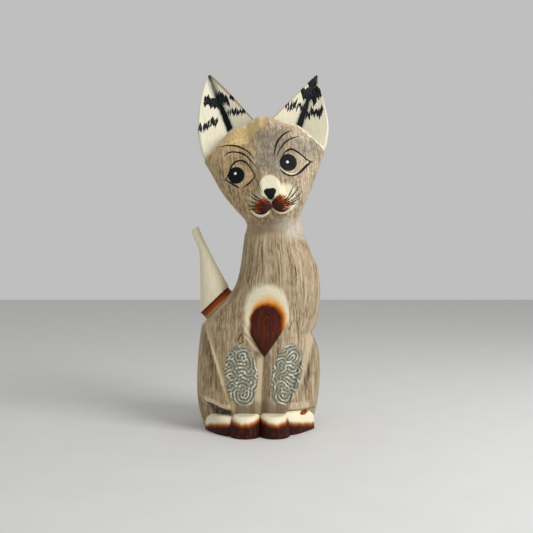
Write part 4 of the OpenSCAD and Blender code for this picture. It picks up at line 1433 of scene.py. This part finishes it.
def make_panel(leg, mid_x, mid_z, half_w, half_h, lean, curls, patches):
    sheet = add(bpy.ops.mesh.primitive_grid_add, leg + "_scrolls", size=2, **PANEL_STEPS)
    sheet.data.transform(Matrix.Rotation(math.radians(90), 4, "X"))

    def comb(places, normals):
        """Round the square sheet to an oval and press the grooves into it."""
        u = places[:, 0] * MM
        v = places[:, 2] * MM
        across = u * np.sqrt(1 - v * v / 2)
        along = v * np.sqrt(1 - u * u / 2)
        angle = np.arctan2(along, across)
        wavy = 1 + 0.012 * np.sin(5 * angle + mid_x) + 0.006 * np.sin(9 * angle)
        turn = math.radians(lean)
        x = mid_x + wavy * (across * half_w * math.cos(turn) + along * half_h * math.sin(turn))
        z = mid_z + wavy * (along * half_h * math.cos(turn) - across * half_w * math.sin(turn))
        bent_x = x + 0.6 * np.sin(z * 0.33 + 1) + 0.2 * np.sin(z * 0.6 + x * 0.3)
        bent_z = z + 0.6 * np.sin(x * 0.37 + 2) + 0.2 * np.sin(x * 0.7 - z * 0.25)
        firm = 0.72 + 0.28 * np.sin(x * 0.36 + 1.3 * np.sin(z * 0.23)) * np.sin(z * 0.31 + 0.5)
        for flat_patch in patches:
            firm = firm * (0.25 + 0.75 * smooth(0.6, 1.1, np.sqrt(ellipse(x, z, *flat_patch))))
        from_crest = np.arccos(np.clip(comb_cords(bent_x, bent_z, curls), -1, 1)) / math.pi
        height = 0.35 + (0.65 - from_crest ** 1.7) * firm
        rim = smooth(0.955, 0.99, np.hypot(across, along))
        ridge = sheet.data.attributes.new("ridge", "FLOAT", "POINT")
        ridge.data.foreach_set("value", np.maximum(height, rim * 0.7).astype(np.float32))
        return np.stack((x, -SCROLL_H * height * (1 - rim), z), axis=1) - places

    sculpt(sheet, comb)
    drape(sheet, surface_of(torso), 0.15, 1)
    apply(sheet, "SOLIDIFY", thickness=SCROLL_BACK * MM, offset=-1)
    shade_smooth(sheet, 60)
    material, place = new_material(leg + "_paste")
    height = place.node("Attribute", {"attribute_name": "ridge"}, {}, "Fac")
    patch = place.noise(0.25, 0.25, 71, 4)
    # By height: pale paste with a painted highlight on the crests, and the dark ground paint with painted
    # shade in the grooves
    colour = (height + (patch - 0.5) * 0.7).rise(0.62, 0.95).mix(PASTE_GREY, PASTE_AND_HIGHLIGHT)
    colour = (height + (patch - 0.5) * 0.5).rise(0.58, 0.17).mix(colour, GROOVE_PAINT_AND_SHADE)
    dress([sheet], material, colour, 0.55, patch, 0.2)
    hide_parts(leg + "_scrollwork")
    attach(sheet, "root")


for leg, panel in PANELS.items():
    make_panel(leg, *panel)

# Dowels
# Four turned hardwood dowels, glued into drilled holes, join the head, the ears and the tail to the
# blocks. They keep the shape of their CAD nodes, and none of them shows.
DOWEL_PALE = tone(0.76, 0.65, 0.48)
DOWEL_GRAIN = tone(0.6, 0.47, 0.31)
DOWELS = ("neck_dowel", "tail_dowel", "left_ear_dowel", "right_ear_dowel")
material, place = new_material("dowel_hardwood")
fibre = place.noise(0.8, 0.06, 81)
colour = fibre.rise(0.38, 0.64).mix(DOWEL_PALE, DOWEL_GRAIN)
dress([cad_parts[name] for name in DOWELS], material, colour, 0.6, fibre, 0.1, 0.2)

# Floor, light and camera
# A plain pale floor and soft light from the front right, seen from the photograph's place.
CAMERA_PLACE = (9.3, -790, 180)
FOCAL_PIXELS = 700
FRAME_PIXELS = 533
WORLD_STRENGTH = 0.52
LIGHT_PLACE = Vector((900, -700, 900))
LIGHT_AIM = Vector((0, 0, 180))
LIGHT_SIZE = 700
LIGHT_POWER = 13.5
FLOOR_SIZE = 6
FLOOR_PALE = tone(0.86, 0.86, 0.85)
FLOOR_SHADE = tone(0.85, 0.85, 0.84)
floor = add(bpy.ops.mesh.primitive_plane_add, "floor", size=FLOOR_SIZE)
material, place = new_material("pale_floor")
mottle = place.noise(0.02, 0.02, 91)
dress([floor], material, mottle.rise(0.3, 0.7).mix(FLOOR_PALE, FLOOR_SHADE), 0.8, sheen=0.1)

world = bpy.data.worlds.new("studio")
bpy.context.scene.world = world
world.use_nodes = True
background = world.node_tree.nodes["Background"]
background.inputs["Color"].default_value = (1, 1, 1, 1)
background.inputs["Strength"].default_value = WORLD_STRENGTH

bpy.ops.object.light_add(type="AREA", location=LIGHT_PLACE * MM)
lamp = bpy.context.object
lamp.name = "key"
lamp.data.size = LIGHT_SIZE * MM
lamp.data.energy = LIGHT_POWER
lamp.rotation_euler = (LIGHT_PLACE - LIGHT_AIM).to_track_quat("Z", "Y").to_euler()

camera = bpy.data.cameras.new("camera")
camera.sensor_fit = "HORIZONTAL"
camera.angle = 2 * math.atan(FRAME_PIXELS / 2 / FOCAL_PIXELS)
viewer = bpy.data.objects.new("camera", camera)
viewer.location = [v * MM for v in CAMERA_PLACE]
viewer.rotation_euler = (math.radians(90), 0, 0)
bpy.context.scene.collection.objects.link(viewer)
bpy.context.scene.camera = viewer
bpy.context.scene.view_settings.view_transform = "Standard"
